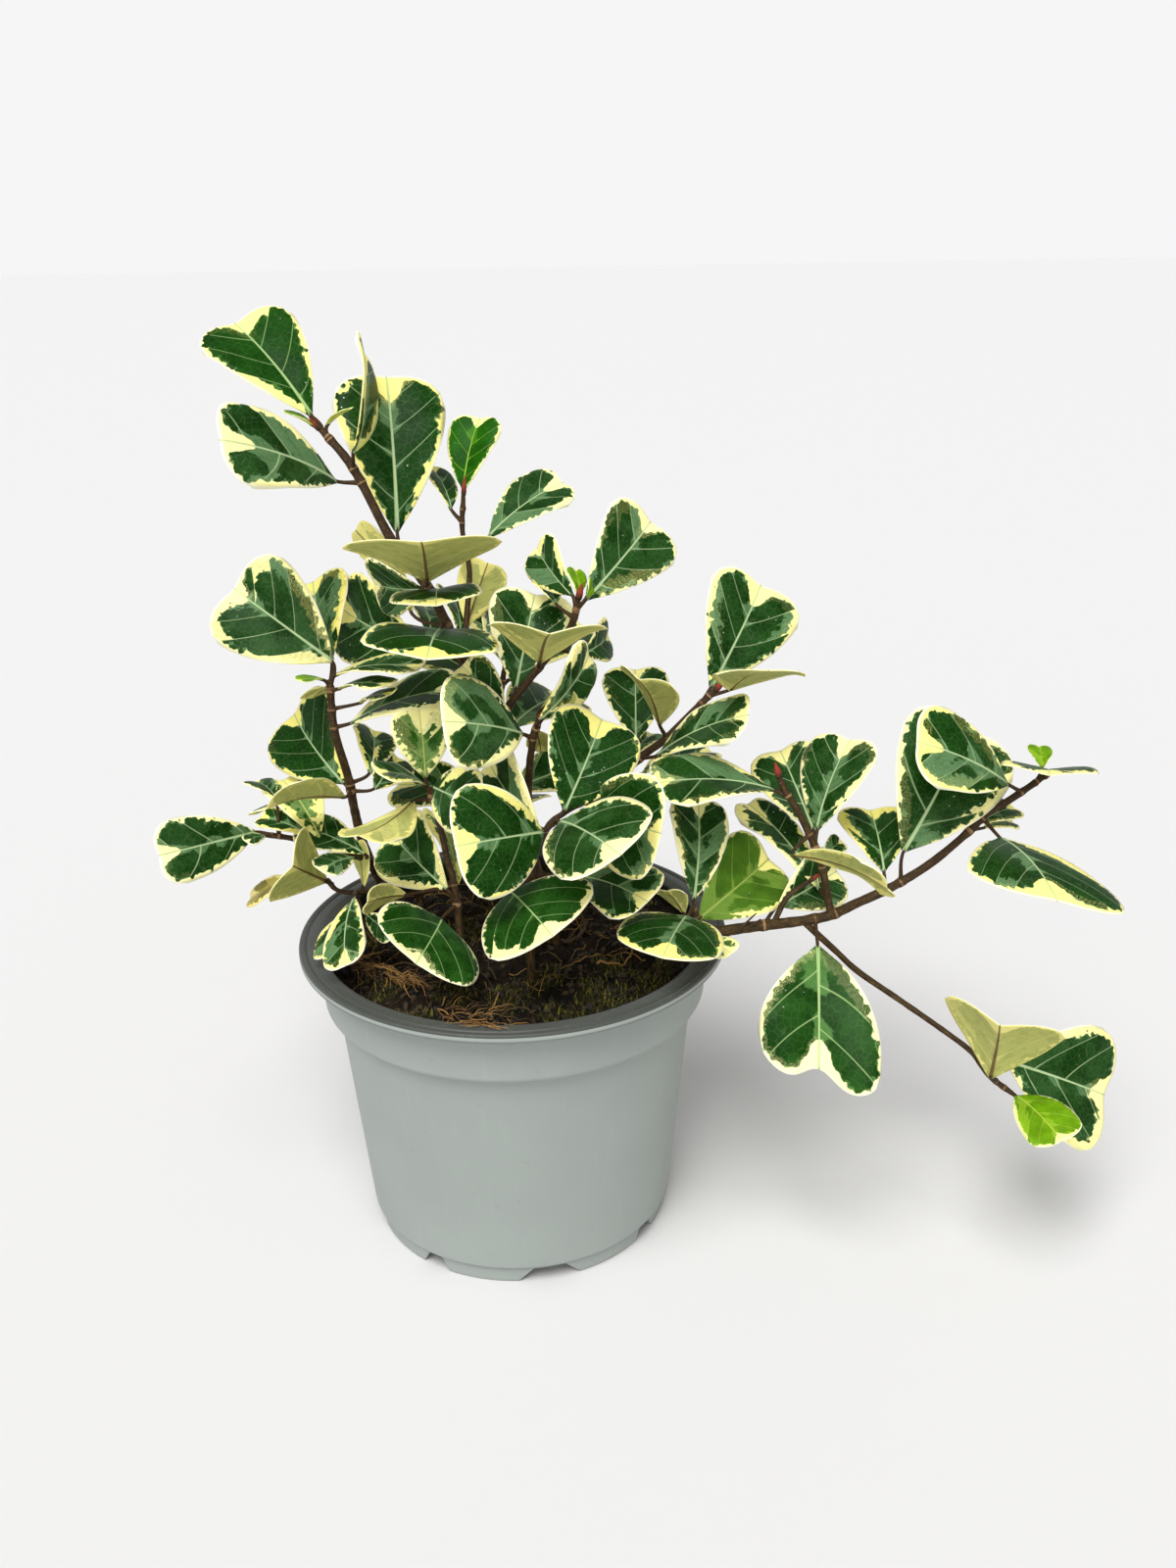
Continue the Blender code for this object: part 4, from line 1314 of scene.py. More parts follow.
@dataclass
class Pot:
    """The nursery pot: a turned shell with a flat flanged rim, a collar and a foot ring with gaps."""

    outside: bpy.types.Material
    inside: bpy.types.Material
    wide_gaps: int = 4
    wide_gap_angle: float = 24.0
    narrow_gap_angle: float = 12.0
    gap_slope: float = 0.5
    gap_turn: float = -81.0
    drain_holes: int = 6
    drain_radius: float = 4.5
    drain_circle: float = 44.0
    drain_sides: int = 32
    corner_radius: float = 0.7
    sharp_angle: float = 50.0
    steps: int = 288

    def inner_profile(self) -> list[tuple[float, float]]:
        """Corners from the middle of the inner floor up over the rim to its outer edge.

        Returns:
            Each corner's radius and height.
        """
        inner_collar = POT_COLLAR_RADIUS - POT_WALL
        return [
            (0.0, POT_FOOT_HEIGHT + POT_FLOOR),
            (POT_BASE_RADIUS - POT_WALL - 1.0, POT_FOOT_HEIGHT + POT_FLOOR),
            (POT_BASE_RADIUS - POT_WALL, POT_FOOT_HEIGHT + 3.2),
            (POT_BODY_TOP_RADIUS - POT_WALL, POT_COLLAR_STEP_HEIGHT - 0.4),
            (POT_COLLAR_RADIUS - COLLAR_SLOPE - POT_WALL, POT_COLLAR_STEP_HEIGHT + 1.0),
            (inner_collar - 0.6, POT_COLLAR_STEP_HEIGHT + 4.0),
            (inner_collar, POT_HEIGHT - 1.5),
            (inner_collar + 3.0, POT_HEIGHT),
            (POT_RIM_RADIUS - 3.4, POT_HEIGHT - 0.1),
            (POT_RIM_RADIUS - 2.9, POT_HEIGHT - 0.9),
            (POT_RIM_RADIUS - 2.2, POT_HEIGHT - 0.1),
            (POT_RIM_RADIUS - 0.3, POT_HEIGHT),
            (POT_RIM_RADIUS, POT_HEIGHT - 1.2),
        ]

    def outer_profile(self) -> list[tuple[float, float]]:
        """Corners from the rim's outer edge down the body and the foot to the middle of the outer floor.

        Returns:
            Each corner's radius and height.
        """
        return [
            (POT_RIM_RADIUS, POT_HEIGHT - 1.2),
            (POT_RIM_RADIUS, POT_HEIGHT - POT_LIP),
            (POT_RIM_RADIUS - 1.4, POT_HEIGHT - POT_LIP),
            (POT_RIM_RADIUS - 2.0, POT_HEIGHT - 2.4),
            (POT_COLLAR_RADIUS + 0.6, POT_HEIGHT - 2.6),
            (POT_COLLAR_RADIUS, POT_HEIGHT - 4.0),
            (POT_COLLAR_RADIUS, POT_COLLAR_STEP_HEIGHT + 3.4),
            (POT_COLLAR_RADIUS - 0.9, POT_COLLAR_STEP_HEIGHT + 1.9),
            (POT_COLLAR_RADIUS - 3.9, POT_COLLAR_STEP_HEIGHT + 0.9),
            (POT_BODY_TOP_RADIUS, POT_COLLAR_STEP_HEIGHT),
            (POT_BASE_RADIUS + 0.4, POT_FOOT_HEIGHT + 1.4),
            (POT_BASE_RADIUS - 0.2, POT_FOOT_HEIGHT + 0.5),
            (POT_FOOT_RADIUS - 1.7, POT_FOOT_HEIGHT),
            (POT_FOOT_RADIUS - 1.0, POT_FOOT_HEIGHT - 0.7),
            (POT_FOOT_RADIUS - 1.2, 0.0),
            (POT_FOOT_RADIUS - 3.2, 0.0),
            (POT_FOOT_RADIUS - 3.2, POT_FOOT_HEIGHT),
            (0.0, POT_FOOT_HEIGHT),
        ]

    def gaps(self) -> list[tuple[float, float]]:
        """The foot ring's gaps, wide and narrow by turns.

        Returns:
            Each gap's middle and half its width, in degrees round the pot.
        """
        widths = (self.wide_gap_angle, self.narrow_gap_angle)
        return [(self.gap_turn + index * 180.0 / self.wide_gaps, 0.5 * widths[index % 2])
                for index in range(2 * self.wide_gaps)]

    def gap_lift(self, turn: Array) -> Array:
        """Height of the foot ring's lower edge round the pot.

        Off a gap it is 0.  Inside one it rises on a slope over the share gap_slope of the gap's half width.

        Args:
            turn: Angles round the pot, in radians.

        Returns:
            The heights, in millimetres.
        """
        lift = np.zeros_like(turn)
        for centre, half in self.gaps():
            off = np.abs((np.degrees(turn) - centre + 180.0) % 360.0 - 180.0)
            share = np.clip((half - off) / (self.gap_slope * half), 0.0, 1.0)
            lift = np.maximum(lift, (POT_FOOT_HEIGHT - 1.0) * share)
        return lift

    def turns(self) -> Array:
        """Angles round the pot: even steps, and the corners of each gap.

        Returns:
            The angles, in radians and in order.
        """
        even = np.linspace(0.0, 360.0, self.steps, endpoint=False)
        corners = []
        for centre, half in self.gaps():
            flat = (1.0 - self.gap_slope) * half
            corners += [centre - half, centre - flat, centre + flat, centre + half]
        return np.radians(np.unique(np.round(np.concatenate([even, np.mod(corners, 360.0)]), 3)))

    def turned(self, profile: Array, turn: Array) -> Array:
        """Turn a profile: a point is (radius cos turn, radius sin turn, height), lifted at the foot's gaps.

        Args:
            profile: Each point's radius and height.
            turn: Angles round the pot, in radians.

        Returns:
            A grid of places, one row for each point of the profile.
        """
        radius = np.repeat(profile[:, :1], len(turn), axis=1)
        height = np.repeat(profile[:, 1:], len(turn), axis=1)
        height = np.where(height < POT_FOOT_HEIGHT, np.maximum(height, self.gap_lift(turn)[None, :]), height)
        return np.stack([radius * np.cos(turn), radius * np.sin(turn), height], axis=-1)

    def shell(self) -> bpy.types.Object:
        """Make the two-tone shell, closed at both poles.

        Returns:
            The shell's object.
        """
        turn = self.turns()
        inner = rounded(self.inner_profile(), self.corner_radius)
        outer = rounded(self.outer_profile(), self.corner_radius)
        profile = np.vstack([inner[1:], outer[1:-1]])
        rows, count = len(profile), len(turn)
        poles = [[0.0, 0.0, inner[0][1]], [0.0, 0.0, outer[-1][1]]]
        points = np.vstack([self.turned(profile, turn).reshape(-1, 3), poles])
        is_inside = np.arange(rows - 1) < len(inner) - 2
        finish = np.concatenate([np.repeat(np.where(is_inside, 1, 0), count), np.repeat([1, 0], count)])
        piece = Piece("nursery_pot_shell")
        piece.add(points, tube_faces(rows, count)[:, ::-1], finish)
        return piece.build([self.outside, self.inside], "nursery_pot")

    def drain_cutters(self, group: bpy.types.Collection) -> None:
        """Put a round bar through the floor at each drain hole.

        Args:
            group: The collection that the bars go in.
        """
        bar_heights = [POT_FOOT_HEIGHT - 3.0, POT_FOOT_HEIGHT + POT_FLOOR + 3.0]
        for index in range(self.drain_holes):
            turn = index * 2.0 * np.pi / self.drain_holes
            centre = np.array([self.drain_circle * np.cos(turn), self.drain_circle * np.sin(turn), 0.0])
            path = centre + np.outer(bar_heights, [0.0, 0.0, 1.0])
            points, faces = swept_tube(path, np.full(2, self.drain_radius), self.drain_sides)
            mesh = bpy.data.meshes.new("drain_cutter")
            mesh.from_pydata(((points + FROM_AXIS) * MM).tolist(), [], corner_indices(faces))
            group.objects.link(bpy.data.objects.new("drain_cutter", mesh))

    def make(self) -> bpy.types.Object:
        """Make the pot: the shell, with its drain holes cut.

        Returns:
            The pot's object.
        """
        pot = self.shell()
        group = bpy.data.collections.new("drain_cutters")
        self.drain_cutters(group)
        cut = pot.modifiers.new("Drain", "BOOLEAN")
        cut.operation = "DIFFERENCE"
        cut.operand_type = "COLLECTION"
        cut.collection = group
        cut.solver = "EXACT"
        bake_modifiers(pot)
        for cutter in list(group.objects):
            bpy.data.objects.remove(cutter)
        bpy.data.collections.remove(group)
        pot.data.set_sharp_from_angle(angle=radians(self.sharp_angle))
        return pot


def bake_modifiers(item: bpy.types.Object) -> None:
    """Replace an object's mesh by its evaluated mesh and drop the modifiers.

    Args:
        item: The object.
    """
    mesh = bpy.data.meshes.new_from_object(item.evaluated_get(bpy.context.evaluated_depsgraph_get()))
    item.modifiers.clear()
    item.data = mesh


@dataclass(frozen=True)
class Tuft:
    """A clump of root fibres: how many, the line that they start along, and ranges for each one's values."""

    count: int
    start: tuple[float, float]
    run: tuple[float, float]
    stray: float
    headings: tuple[float, float]
    lengths: tuple[float, float]
    radii: tuple[float, float]
    arch: float


@dataclass
class Soil:
    """The root ball with a crumbly, mossy top, and the litter on it: chips, fibres and moss shoots.

    A moss spot is its middle and its radius.  A thick root is its start, heading, length, radius and arch.
    """

    ground: bpy.types.Material
    chips: bpy.types.Material
    fibres: bpy.types.Material
    moss: bpy.types.Material
    seed: int = 5
    steps: int = 320
    rings: int = 110
    middle_radius: float = 0.6
    wall_gap: float = 0.45
    litter_reach: float = 71.0
    chip_count: int = 1100
    chip_sides: int = 6
    chip_rows: int = 4
    fibre_count: int = 130
    fibre_reach: float = 64.0
    fibre_limit: float = 72.5
    fibre_sides: int = 6
    rim_fibre_count: int = 26
    rim_fibre_rings: int = 12
    shoot_count: int = 3400
    tufts: tuple[Tuft, ...] = (
        Tuft(46, (-30.0, -54.0), (26.0, -10.0), 4.0, (-1.2, 0.8), (6.0, 16.0), (0.18, 0.4), 2.5),
        Tuft(90, (-68.0, -13.0), (26.0, -18.0), 3.0, (-1.1, -0.1), (8.0, 20.0), (0.2, 0.45), 3.5),
    )
    thick_roots: tuple[tuple[float, ...], ...] = ((17.0, -3.0, -0.8, 30.0, 1.0, 2.0),
                                                  (30.0, -30.0, 0.3, 24.0, 0.6, 1.0))
    moss_spots: tuple[tuple[float, float, float], ...] = (
        (11.0, -33.0, 9.0), (34.0, -52.0, 17.0), (57.0, -36.0, 15.0), (-3.0, -50.0, 12.0),
        (16.0, -62.0, 13.0), (-22.0, -44.0, 11.0), (42.0, -26.0, 11.0), (-48.0, -34.0, 11.0),
        (-36.0, -60.0, 11.0), (62.0, -6.0, 15.0), (20.0, 48.0, 24.0), (-56.0, 10.0, 16.0),
        (0.0, 28.0, 15.0), (-20.0, 8.0, 12.0), (44.0, 28.0, 14.0))

    def height(self, x: Array, y: Array) -> Array:
        """Height of the soil's top.

        It is a low dome, a slope down to the wall, three crossed waves that die out at the wall, crumbs of
        three sizes, and a cushion under moss.

        Args:
            x: First coordinates from the pot's axis.
            y: Second coordinates.

        Returns:
            The heights, in millimetres.
        """
        away = np.sqrt(x ** 2 + y ** 2)
        edge = np.maximum(0.0, 1.0 - (away / 70.0) ** 4)
        waves = (np.sin(x / 7.0 + 1.3) * np.cos(y / 8.5) + 0.6 * np.sin((x + y) / 4.6)
                 + 0.5 * np.cos((x - 2.0 * y) / 6.3))
        dome = 1.5 * np.clip((66.0 - away) / 48.0, 0.0, 1.0)
        crumbs = (1.2 * lattice_noise(x / 4.1, y / 4.1, 1) + 0.8 * lattice_noise(x / 1.9, y / 1.9, 2)
                  + 0.4 * lattice_noise(x / 0.95, y / 0.95, 3))
        slope = 1.5 * smooth_step(away, 63.0, 73.8)
        cushion = 1.3 * self.mossy(x, y)
        return SOIL_TOP + dome - slope + 1.6 * waves * edge + crumbs * (0.4 + 0.6 * edge) + cushion

    def mossy(self, x: Array, y: Array) -> Array:
        """How mossy a place is: round spots with a torn edge.

        Args:
            x: First coordinates from the pot's axis.
            y: Second coordinates.

        Returns:
            Shares from 0 to 1.
        """
        share = np.zeros(np.broadcast(x, y).shape)
        torn = 0.7 * lattice_noise(x / 7.0, y / 7.0, 9) + 0.6 * lattice_noise(x / 3.0, y / 3.0, 10)
        for spot_x, spot_y, radius in self.moss_spots:
            away = np.hypot(x - spot_x, y - spot_y) / radius
            share = np.maximum(share, 1.0 - smooth_step(away + 0.5 * torn, 0.45, 1.0))
        return share

    def side_profile(self, rim: float) -> Array:
        """Corners from the soil's rim down inside the pot's wall to the middle of its floor.

        Args:
            rim: The top's radius.

        Returns:
            Each corner's radius and height.
        """
        body, base = POT_BODY_TOP_RADIUS - POT_WALL, POT_BASE_RADIUS - POT_WALL
        return np.array([
            (rim - 0.1, POT_COLLAR_STEP_HEIGHT + 5.0),
            (POT_COLLAR_RADIUS - COLLAR_SLOPE - POT_WALL - 1.0, POT_COLLAR_STEP_HEIGHT + 1.6),
            (body - self.wall_gap, POT_COLLAR_STEP_HEIGHT),
            (base - self.wall_gap, POT_FOOT_HEIGHT + 4.0),
            (base - 1.5, POT_FOOT_HEIGHT + POT_FLOOR + 0.3),
            (self.middle_radius, POT_FOOT_HEIGHT + POT_FLOOR + 0.3),
        ])

    def ground_piece(self) -> None:
        """Make the root ball: its top on rings, then its side and base, turned, with a point at each pole."""
        rim = POT_COLLAR_RADIUS - POT_WALL - 1.2
        turn = np.linspace(0.0, 2.0 * np.pi, self.steps, endpoint=False)
        radii = np.linspace(self.middle_radius, rim, self.rings)
        x, y = radii[:, None] * np.cos(turn), radii[:, None] * np.sin(turn)
        top = np.stack([x, y, self.height(x, y)], axis=-1)
        side = self.side_profile(rim)
        wall = np.stack([side[:, :1] * np.cos(turn), side[:, :1] * np.sin(turn),
                         np.repeat(side[:, 1:], len(turn), axis=1)], axis=-1)
        grid = np.concatenate([top, wall])
        rows, count = grid.shape[:2]
        peak = float(self.height(np.zeros(1), np.zeros(1))[0])
        points = np.vstack([grid.reshape(-1, 3), [[0.0, 0.0, peak], [0.0, 0.0, side[-1][1]]]])
        moss = np.concatenate([self.mossy(x, y).ravel(), np.zeros(len(side) * count + 2)])
        piece = Piece("soil_ground")
        piece.add(points, tube_faces(rows, count)[:, ::-1], 0, moss=moss)
        piece.build([self.ground], "soil")

    def scatter(self, random: np.random.Generator, count: int, reach: float) -> tuple[Array, Array]:
        """Random places on the soil: the radius grows with the square root, so that they lie evenly.

        Args:
            random: The random draws.
            count: Number of places.
            reach: The greatest radius.

        Returns:
            Both coordinates of each place.
        """
        radius = reach * np.sqrt(random.random(count))
        turn = 2.0 * np.pi * random.random(count)
        return radius * np.cos(turn), radius * np.sin(turn)

    def lozenge(self) -> Array:
        """A ball of radius 1 on a grid of tilt and turn, with a point at each pole.

        Returns:
            The ball's points.
        """
        turn = np.linspace(0.0, 2.0 * np.pi, self.chip_sides, endpoint=False)
        tilt = np.linspace(-1.1, 1.1, self.chip_rows)
        ball = np.stack([np.outer(np.cos(tilt), np.cos(turn)), np.outer(np.cos(tilt), np.sin(turn)),
                         np.repeat(np.sin(tilt)[:, None], self.chip_sides, axis=1)], axis=-1)
        return np.vstack([ball.reshape(-1, 3), [[0.0, 0.0, -1.0], [0.0, 0.0, 1.0]]])

    def chip_piece(self, random: np.random.Generator) -> None:
        """Make the chips and crumbs: lozenges, each scaled three ways, dented at random and spun.

        Args:
            random: The random draws.
        """
        ball, faces = self.lozenge(), tube_faces(self.chip_rows, self.chip_sides)
        piece = Piece("soil_chips")
        x, y = self.scatter(random, self.chip_count, self.litter_reach)
        places = np.stack([x, y, self.height(x, y) + 0.25], axis=-1)
        for place in places:
            size = random.uniform(0.5, 1.9) * random.uniform(0.6, 1.0, 3) * np.array([1.5, 0.9, 0.7])
            angle = random.uniform(0.0, 6.3)
            axis = Vector(random.normal(size=3)).normalized()
            spin = np.array(Matrix.Rotation(angle, 3, axis))
            lump = ball * size * random.uniform(0.75, 1.2, (len(ball), 1))
            piece.add(lump @ spin.T + place, faces, 0, shade=random.random())
        piece.build([self.chips])

    def fibre_piece(self, random: np.random.Generator) -> None:
        """Make the root fibres: scattered ones, tufts, thick roots, and a tuft that hangs over the front rim.

        Args:
            random: The random draws.
        """
        piece = Piece("soil_fibres")
        for x, y in zip(*self.scatter(random, self.fibre_count, self.fibre_reach)):
            length, heading = random.uniform(8.0, 26.0), random.uniform(0.0, 6.3)
            self.fibre(piece, random, x, y, heading, length, random.uniform(0.14, 0.32))
        for tuft in self.tufts:
            self.tuft(piece, random, tuft)
        for root in self.thick_roots:
            self.fibre(piece, random, *root)
        for _ in range(self.rim_fibre_count):
            self.rim_fibre(piece, random)
        piece.build([self.fibres])

    def tuft(self, piece: Piece, random: np.random.Generator, tuft: Tuft) -> None:
        """Add a tuft of fibres, which start at random along the tuft's line.

        Args:
            piece: The fibres' piece.
            random: The random draws.
            tuft: The tuft.
        """
        for _ in range(tuft.count):
            share = random.random()
            x = tuft.start[0] + tuft.run[0] * share
            y = tuft.start[1] + tuft.run[1] * share + random.uniform(-tuft.stray, tuft.stray)
            heading, length = random.uniform(*tuft.headings), random.uniform(*tuft.lengths)
            self.fibre(piece, random, x, y, heading, length, random.uniform(*tuft.radii), tuft.arch)

    def rim_fibre(self, piece: Piece, random: np.random.Generator) -> None:
        """Add a short fibre of the tuft that hangs over the front rim.

        It starts on the soil at a radius of 70 and rises to the rim's top with the square root of the way
        along it.

        Args:
            piece: The fibres' piece.
            random: The random draws.
        """
        share = np.linspace(0.0, 1.0, self.rim_fibre_rings)
        reach = 70.0 + random.uniform(8.0, 13.6) * share
        turn = radians(-99.5) + random.uniform(-0.05, 0.05) + random.uniform(-0.12, 0.12) * share ** 2
        rise = SOIL_TOP + 1.0 + (POT_HEIGHT + random.uniform(0.2, 1.0) - SOIL_TOP) * np.sqrt(share)
        path = np.stack([reach * np.cos(turn), reach * np.sin(turn), rise], axis=-1)
        radii = random.uniform(0.18, 0.32) * np.linspace(1.0, 0.5, self.rim_fibre_rings)
        points, faces = swept_tube(path, radii, self.fibre_sides)
        piece.add(points, faces, 0, shade=random.uniform(0.5, 1.0))

    def fibre(self, piece: Piece, random: np.random.Generator, x: float, y: float, heading: float,
              length: float, radius: float, arch: float = 0.0) -> None:
        """Add a fibre: its heading turns at random, and it rides over the soil's lumps or arches up.

        Args:
            piece: The fibres' piece.
            random: The random draws.
            x: Where it starts, first coordinate.
            y: Where it starts, second coordinate.
            heading: Its first heading, in radians.
            length: Its length.
            radius: Its radius at the start.
            arch: The greatest height that its middle may rise.
        """
        steps = max(8, int(length / 1.6))
        turns = heading + np.cumsum(random.normal(0.0, 0.22, steps))
        stride = length / steps
        track_x = x + np.cumsum(np.cos(turns)) * stride
        track_y = y + np.cumsum(np.sin(turns)) * stride
        keep = np.minimum(1.0, self.fibre_limit / np.maximum(np.hypot(track_x, track_y), 1e-6))
        track_x, track_y = track_x * keep, track_y * keep
        rise = radius + 0.5 + 0.9 * np.abs(lattice_noise(np.arange(steps) / 3.0, np.full(steps, x), 4))
        rise = rise + arch * np.sin(np.pi * np.linspace(0.0, 1.0, steps)) * random.random()
        path = np.stack([track_x, track_y, self.height(track_x, track_y) + rise], axis=-1)
        points, faces = swept_tube(path, radius * np.linspace(1.0, 0.5, steps), self.fibre_sides)
        piece.add(points, faces, 0, shade=random.random())

    def moss_piece(self, random: np.random.Generator) -> None:
        """Make the moss shoots: curved blades of three rows, thickest where the soil is mossy.

        A blade's middle line is root + lean length share squared along its heading + length share upwards.

        Args:
            random: The random draws.
        """
        x, y = self.scatter(random, self.shoot_count * 4, self.litter_reach)
        picked = random.random(len(x)) < self.mossy(x, y)
        x, y = x[picked][: self.shoot_count], y[picked][: self.shoot_count]
        count = len(x)
        turn = random.uniform(0.0, 2.0 * np.pi, count)
        length = random.uniform(1.2, 3.4, count)
        lean = random.uniform(0.1, 0.9, count)
        flat = np.stack([np.cos(turn), np.sin(turn), np.zeros(count)], axis=-1)
        level = np.stack([-np.sin(turn), np.cos(turn), np.zeros(count)], axis=-1)
        share = np.array([0.0, 0.5, 1.0])
        root = np.stack([x, y, self.height(x, y) - 0.4], axis=-1)
        outward = flat[:, None, :] * (lean * length)[:, None, None] * (share ** 2)[None, :, None]
        upward = np.array([0.0, 0.0, 1.0]) * length[:, None, None] * share[None, :, None]
        spine = root[:, None, :] + outward + upward
        half = np.array([0.26, 0.34, 0.05])[None, :, None] * level[:, None, :]
        blades = np.stack([spine - half, spine + half], axis=2)
        face = np.array([[0, 1, 3, 2], [2, 3, 5, 4]])
        faces = (face[None, :, :] + 6 * np.arange(count)[:, None, None]).reshape(-1, 4)
        piece = Piece("soil_moss")
        piece.add(blades.reshape(-1, 3), faces, 0, shade=np.repeat(random.random(count), 6))
        piece.build([self.moss])

    def make(self) -> None:
        """Make the root ball and all the litter on it."""
        random = np.random.default_rng(self.seed)
        self.ground_piece()
        self.chip_piece(random)
        self.fibre_piece(random)
        self.moss_piece(random)


# Stems and leaves, with the part's own places and sizes, and each leaf's look
TALL_SHOOTS = (
    Shoot(((10, 4, 104), (10, 4, 122), (4, 2, 173), (-1, 3, 201), (-11, 5, 224), (-16, 6, 235), (-25, 7, 258),
           (-31, 7, 268), (-40, 8, 281), (-52, 11, 306), (-63, 14, 320)), 2.8, 1.5, 7.0),
    Shoot(((-11, 6, 224), (-13, 12, 233), (-14, 19, 244), (-12, 24, 264), (-14, 25, 280), (-13, 26, 293)),
          1.3, 0.9, 7.0),
)
TALL_LEAVES = (
    Leaf(-66, 14, 325, 140, 40, -25, 48, 39, belly=0.1, look=Look.DEEP),
    Leaf(-58, 8, 302, -134, 22, -56, 53, 34),
    Leaf(-65, 14, 321, 180, 25, 0, 12, 9, look=Look.YOUNG),
    Leaf(-61, 14, 321, -20, 30, 0, 12, 9, look=Look.YOUNG),
    Leaf(-51, 6, 312, 85, 50, 88, 45, 32),
    Leaf(-38, 16, 282, 95, 62, 8, 59, 44, notch=0.0, belly=0.1),
    Leaf(-27, 0, 267, -89, 30, 0, 42, 56, 5),
    Leaf(-30, 12, 261, 148, 0, -112, 22, 28),
    Leaf(-23, 0, 263, -90, 0, 5, 26, 34),
    Leaf(-23, 0, 248, -95, 0, -5, 42, 50),
    Leaf(-32, 18, 236, 138, 13, -80, 44, 38),
    Leaf(-34, 16, 250, 145, 50, 75, 40, 20),
    Leaf(-28, 20, 240, 100, 15, 35, 28, 24),
    Leaf(-13, 26, 295, 60, 60, 5, 29, 22, look=Look.FRESH),
    Leaf(-18, 26, 288, 115, 35, 25, 24, 18),
    Leaf(-4, 22, 278, 20, 30, 25, 36, 28),
    Leaf(-14, 26, 243, 45, 60, -130, 26, 20),
    Leaf(-17, 28, 239, 100, 25, 40, 26, 20),
    Leaf(-7, 24, 236, 85, 15, 55, 30, 24),
)

FORK_SHOOTS = (
    Shoot(((16, -6, 104), (16, -6, 122), (4, -8, 180), (-1, -8, 205), (0, -6, 217), (9, -5, 229),
           (14, -5, 235), (25, -4, 249), (28, -4, 259)), 2.2, 1.2, 6.0),
)
FORK_LEAVES = (
    Leaf(26, -2, 260, 125, 35, -75, 26, 20),
    Leaf(20, 2, 256, 110, 20, 15, 14, 12),
    Leaf(28, -4, 260, 95, 45, 30, 12, 9, look=Look.YOUNG),
    Leaf(31, -6, 260, 65, 40, 75, 8, 6, look=Look.YOUNG),
    Leaf(31, -4, 259, 40, 35, 60, 42, 34, belly=0.0),
    Leaf(4, -2, 225, 70, 50, 20, 40, 34),
    Leaf(13, -12, 238, -85, 30, -5, 38, 44, 15),
    Leaf(30, 4, 236, 60, 5, 80, 22, 18),
    Leaf(-1, -8, 215, 178, 55, -50, 26, 20),
)

MIDDLE_SHOOTS = (
    Shoot(((6, -18, 104), (6, -18, 122), (7, -14, 179), (8, -16, 198), (9, -17, 206), (10, -18, 212),
           (12, -18, 217)), 2.0, 1.3, 4.0),
)
MIDDLE_LEAVES = (
    Leaf(12, -22, 219, 52, 27, 85, 37, 22),
    Leaf(13, -13, 220, 15, 27, -150, 14, 12),
    Leaf(11, -16, 213, 80, -50, 0, 16, 11),
    Leaf(6, -20, 213, -140, 20, -60, 40, 36),
)

RIGHT_SHOOTS = (
    Shoot(((28, 16, 104), (28, 16, 122), (32, 18, 158), (41, 18, 175), (52, 17, 188), (62, 16, 196),
           (67, 16, 201), (72, 16, 206), (82, 16, 216)), 2.3, 1.3, 6.0),
)
RIGHT_LEAVES = (
    Leaf(51, 16, 196, 85, 42, 0, 34, 28),
    Leaf(60, 12, 204, -120, 50, -15, 32, 28, 20),
    Leaf(81, 18, 217, 44, 48, 50, 48, 42, belly=0.1),
    Leaf(88, 14, 217, -69, 28, -8, 32, 38, 0),
    Leaf(59, 10, 192, -30, 30, 30, 44, 28),
    Leaf(54, 20, 181, 25, 5, 0, 34, 24),
    Leaf(50, 20, 187, 60, 15, 5, 20, 14),
)

TWIG_SHOOTS = (
    Shoot(((6, -36, 104), (6, -36, 122), (7, -35, 160), (13, -34, 180), (20, -32, 186), (29, -30, 190)),
          1.7, 1.0),
)
TWIG_LEAVES = (
    Leaf(20, -34, 188, 52, 48, 45, 38, 37, belly=0.6),
    Leaf(29, -24, 186, -52, 0, 75, 40, 40, belly=0.4),
    Leaf(18, -40, 186, -61, 1, 25, 40, 42, belly=0.6),
    Leaf(12, -42, 183, -143, 8, -63, 40, 42, belly=0.5),
    Leaf(10, -37, 183, 125, 30, -70, 34, 26),
    Leaf(27, -28, 158, -46, -1, 20, 32, 30, belly=0.5),
    Leaf(-1, -42, 160, -65, -6, 25, 35, 46, belly=0.4, look=Look.DEEP),
)

FRONT_SHOOTS = (
    Shoot(((-20, -24, 104), (-20, -24, 122), (-22, -18, 151), (-24, -16, 161), (-27, -14, 178),
           (-30, -14, 191)), 1.7, 1.1),
)
FRONT_LEAVES = (
    Leaf(-27, -30, 144, -106, -6, -38, 31, 44, belly=0.7, look=Look.DEEP),
    Leaf(-25, -20, 152, 130, 22, -60, 36, 32),
    Leaf(-21, -14, 150, 108, 33, 35, 36, 20, look=Look.CREAM),
    Leaf(-40, -22, 151, -135, 11, 70, 20, 14),
    Leaf(-28, -16, 192, -60, 5, 60, 34, 26),
    Leaf(-36, -12, 185, -125, -4, -175, 33, 28, belly=0.5),
    Leaf(-31, -16, 193, -150, 25, -10, 22, 18),
    Leaf(-31, -14, 195, 100, 75, 0, 26, 24, look=Look.CREAM),
)

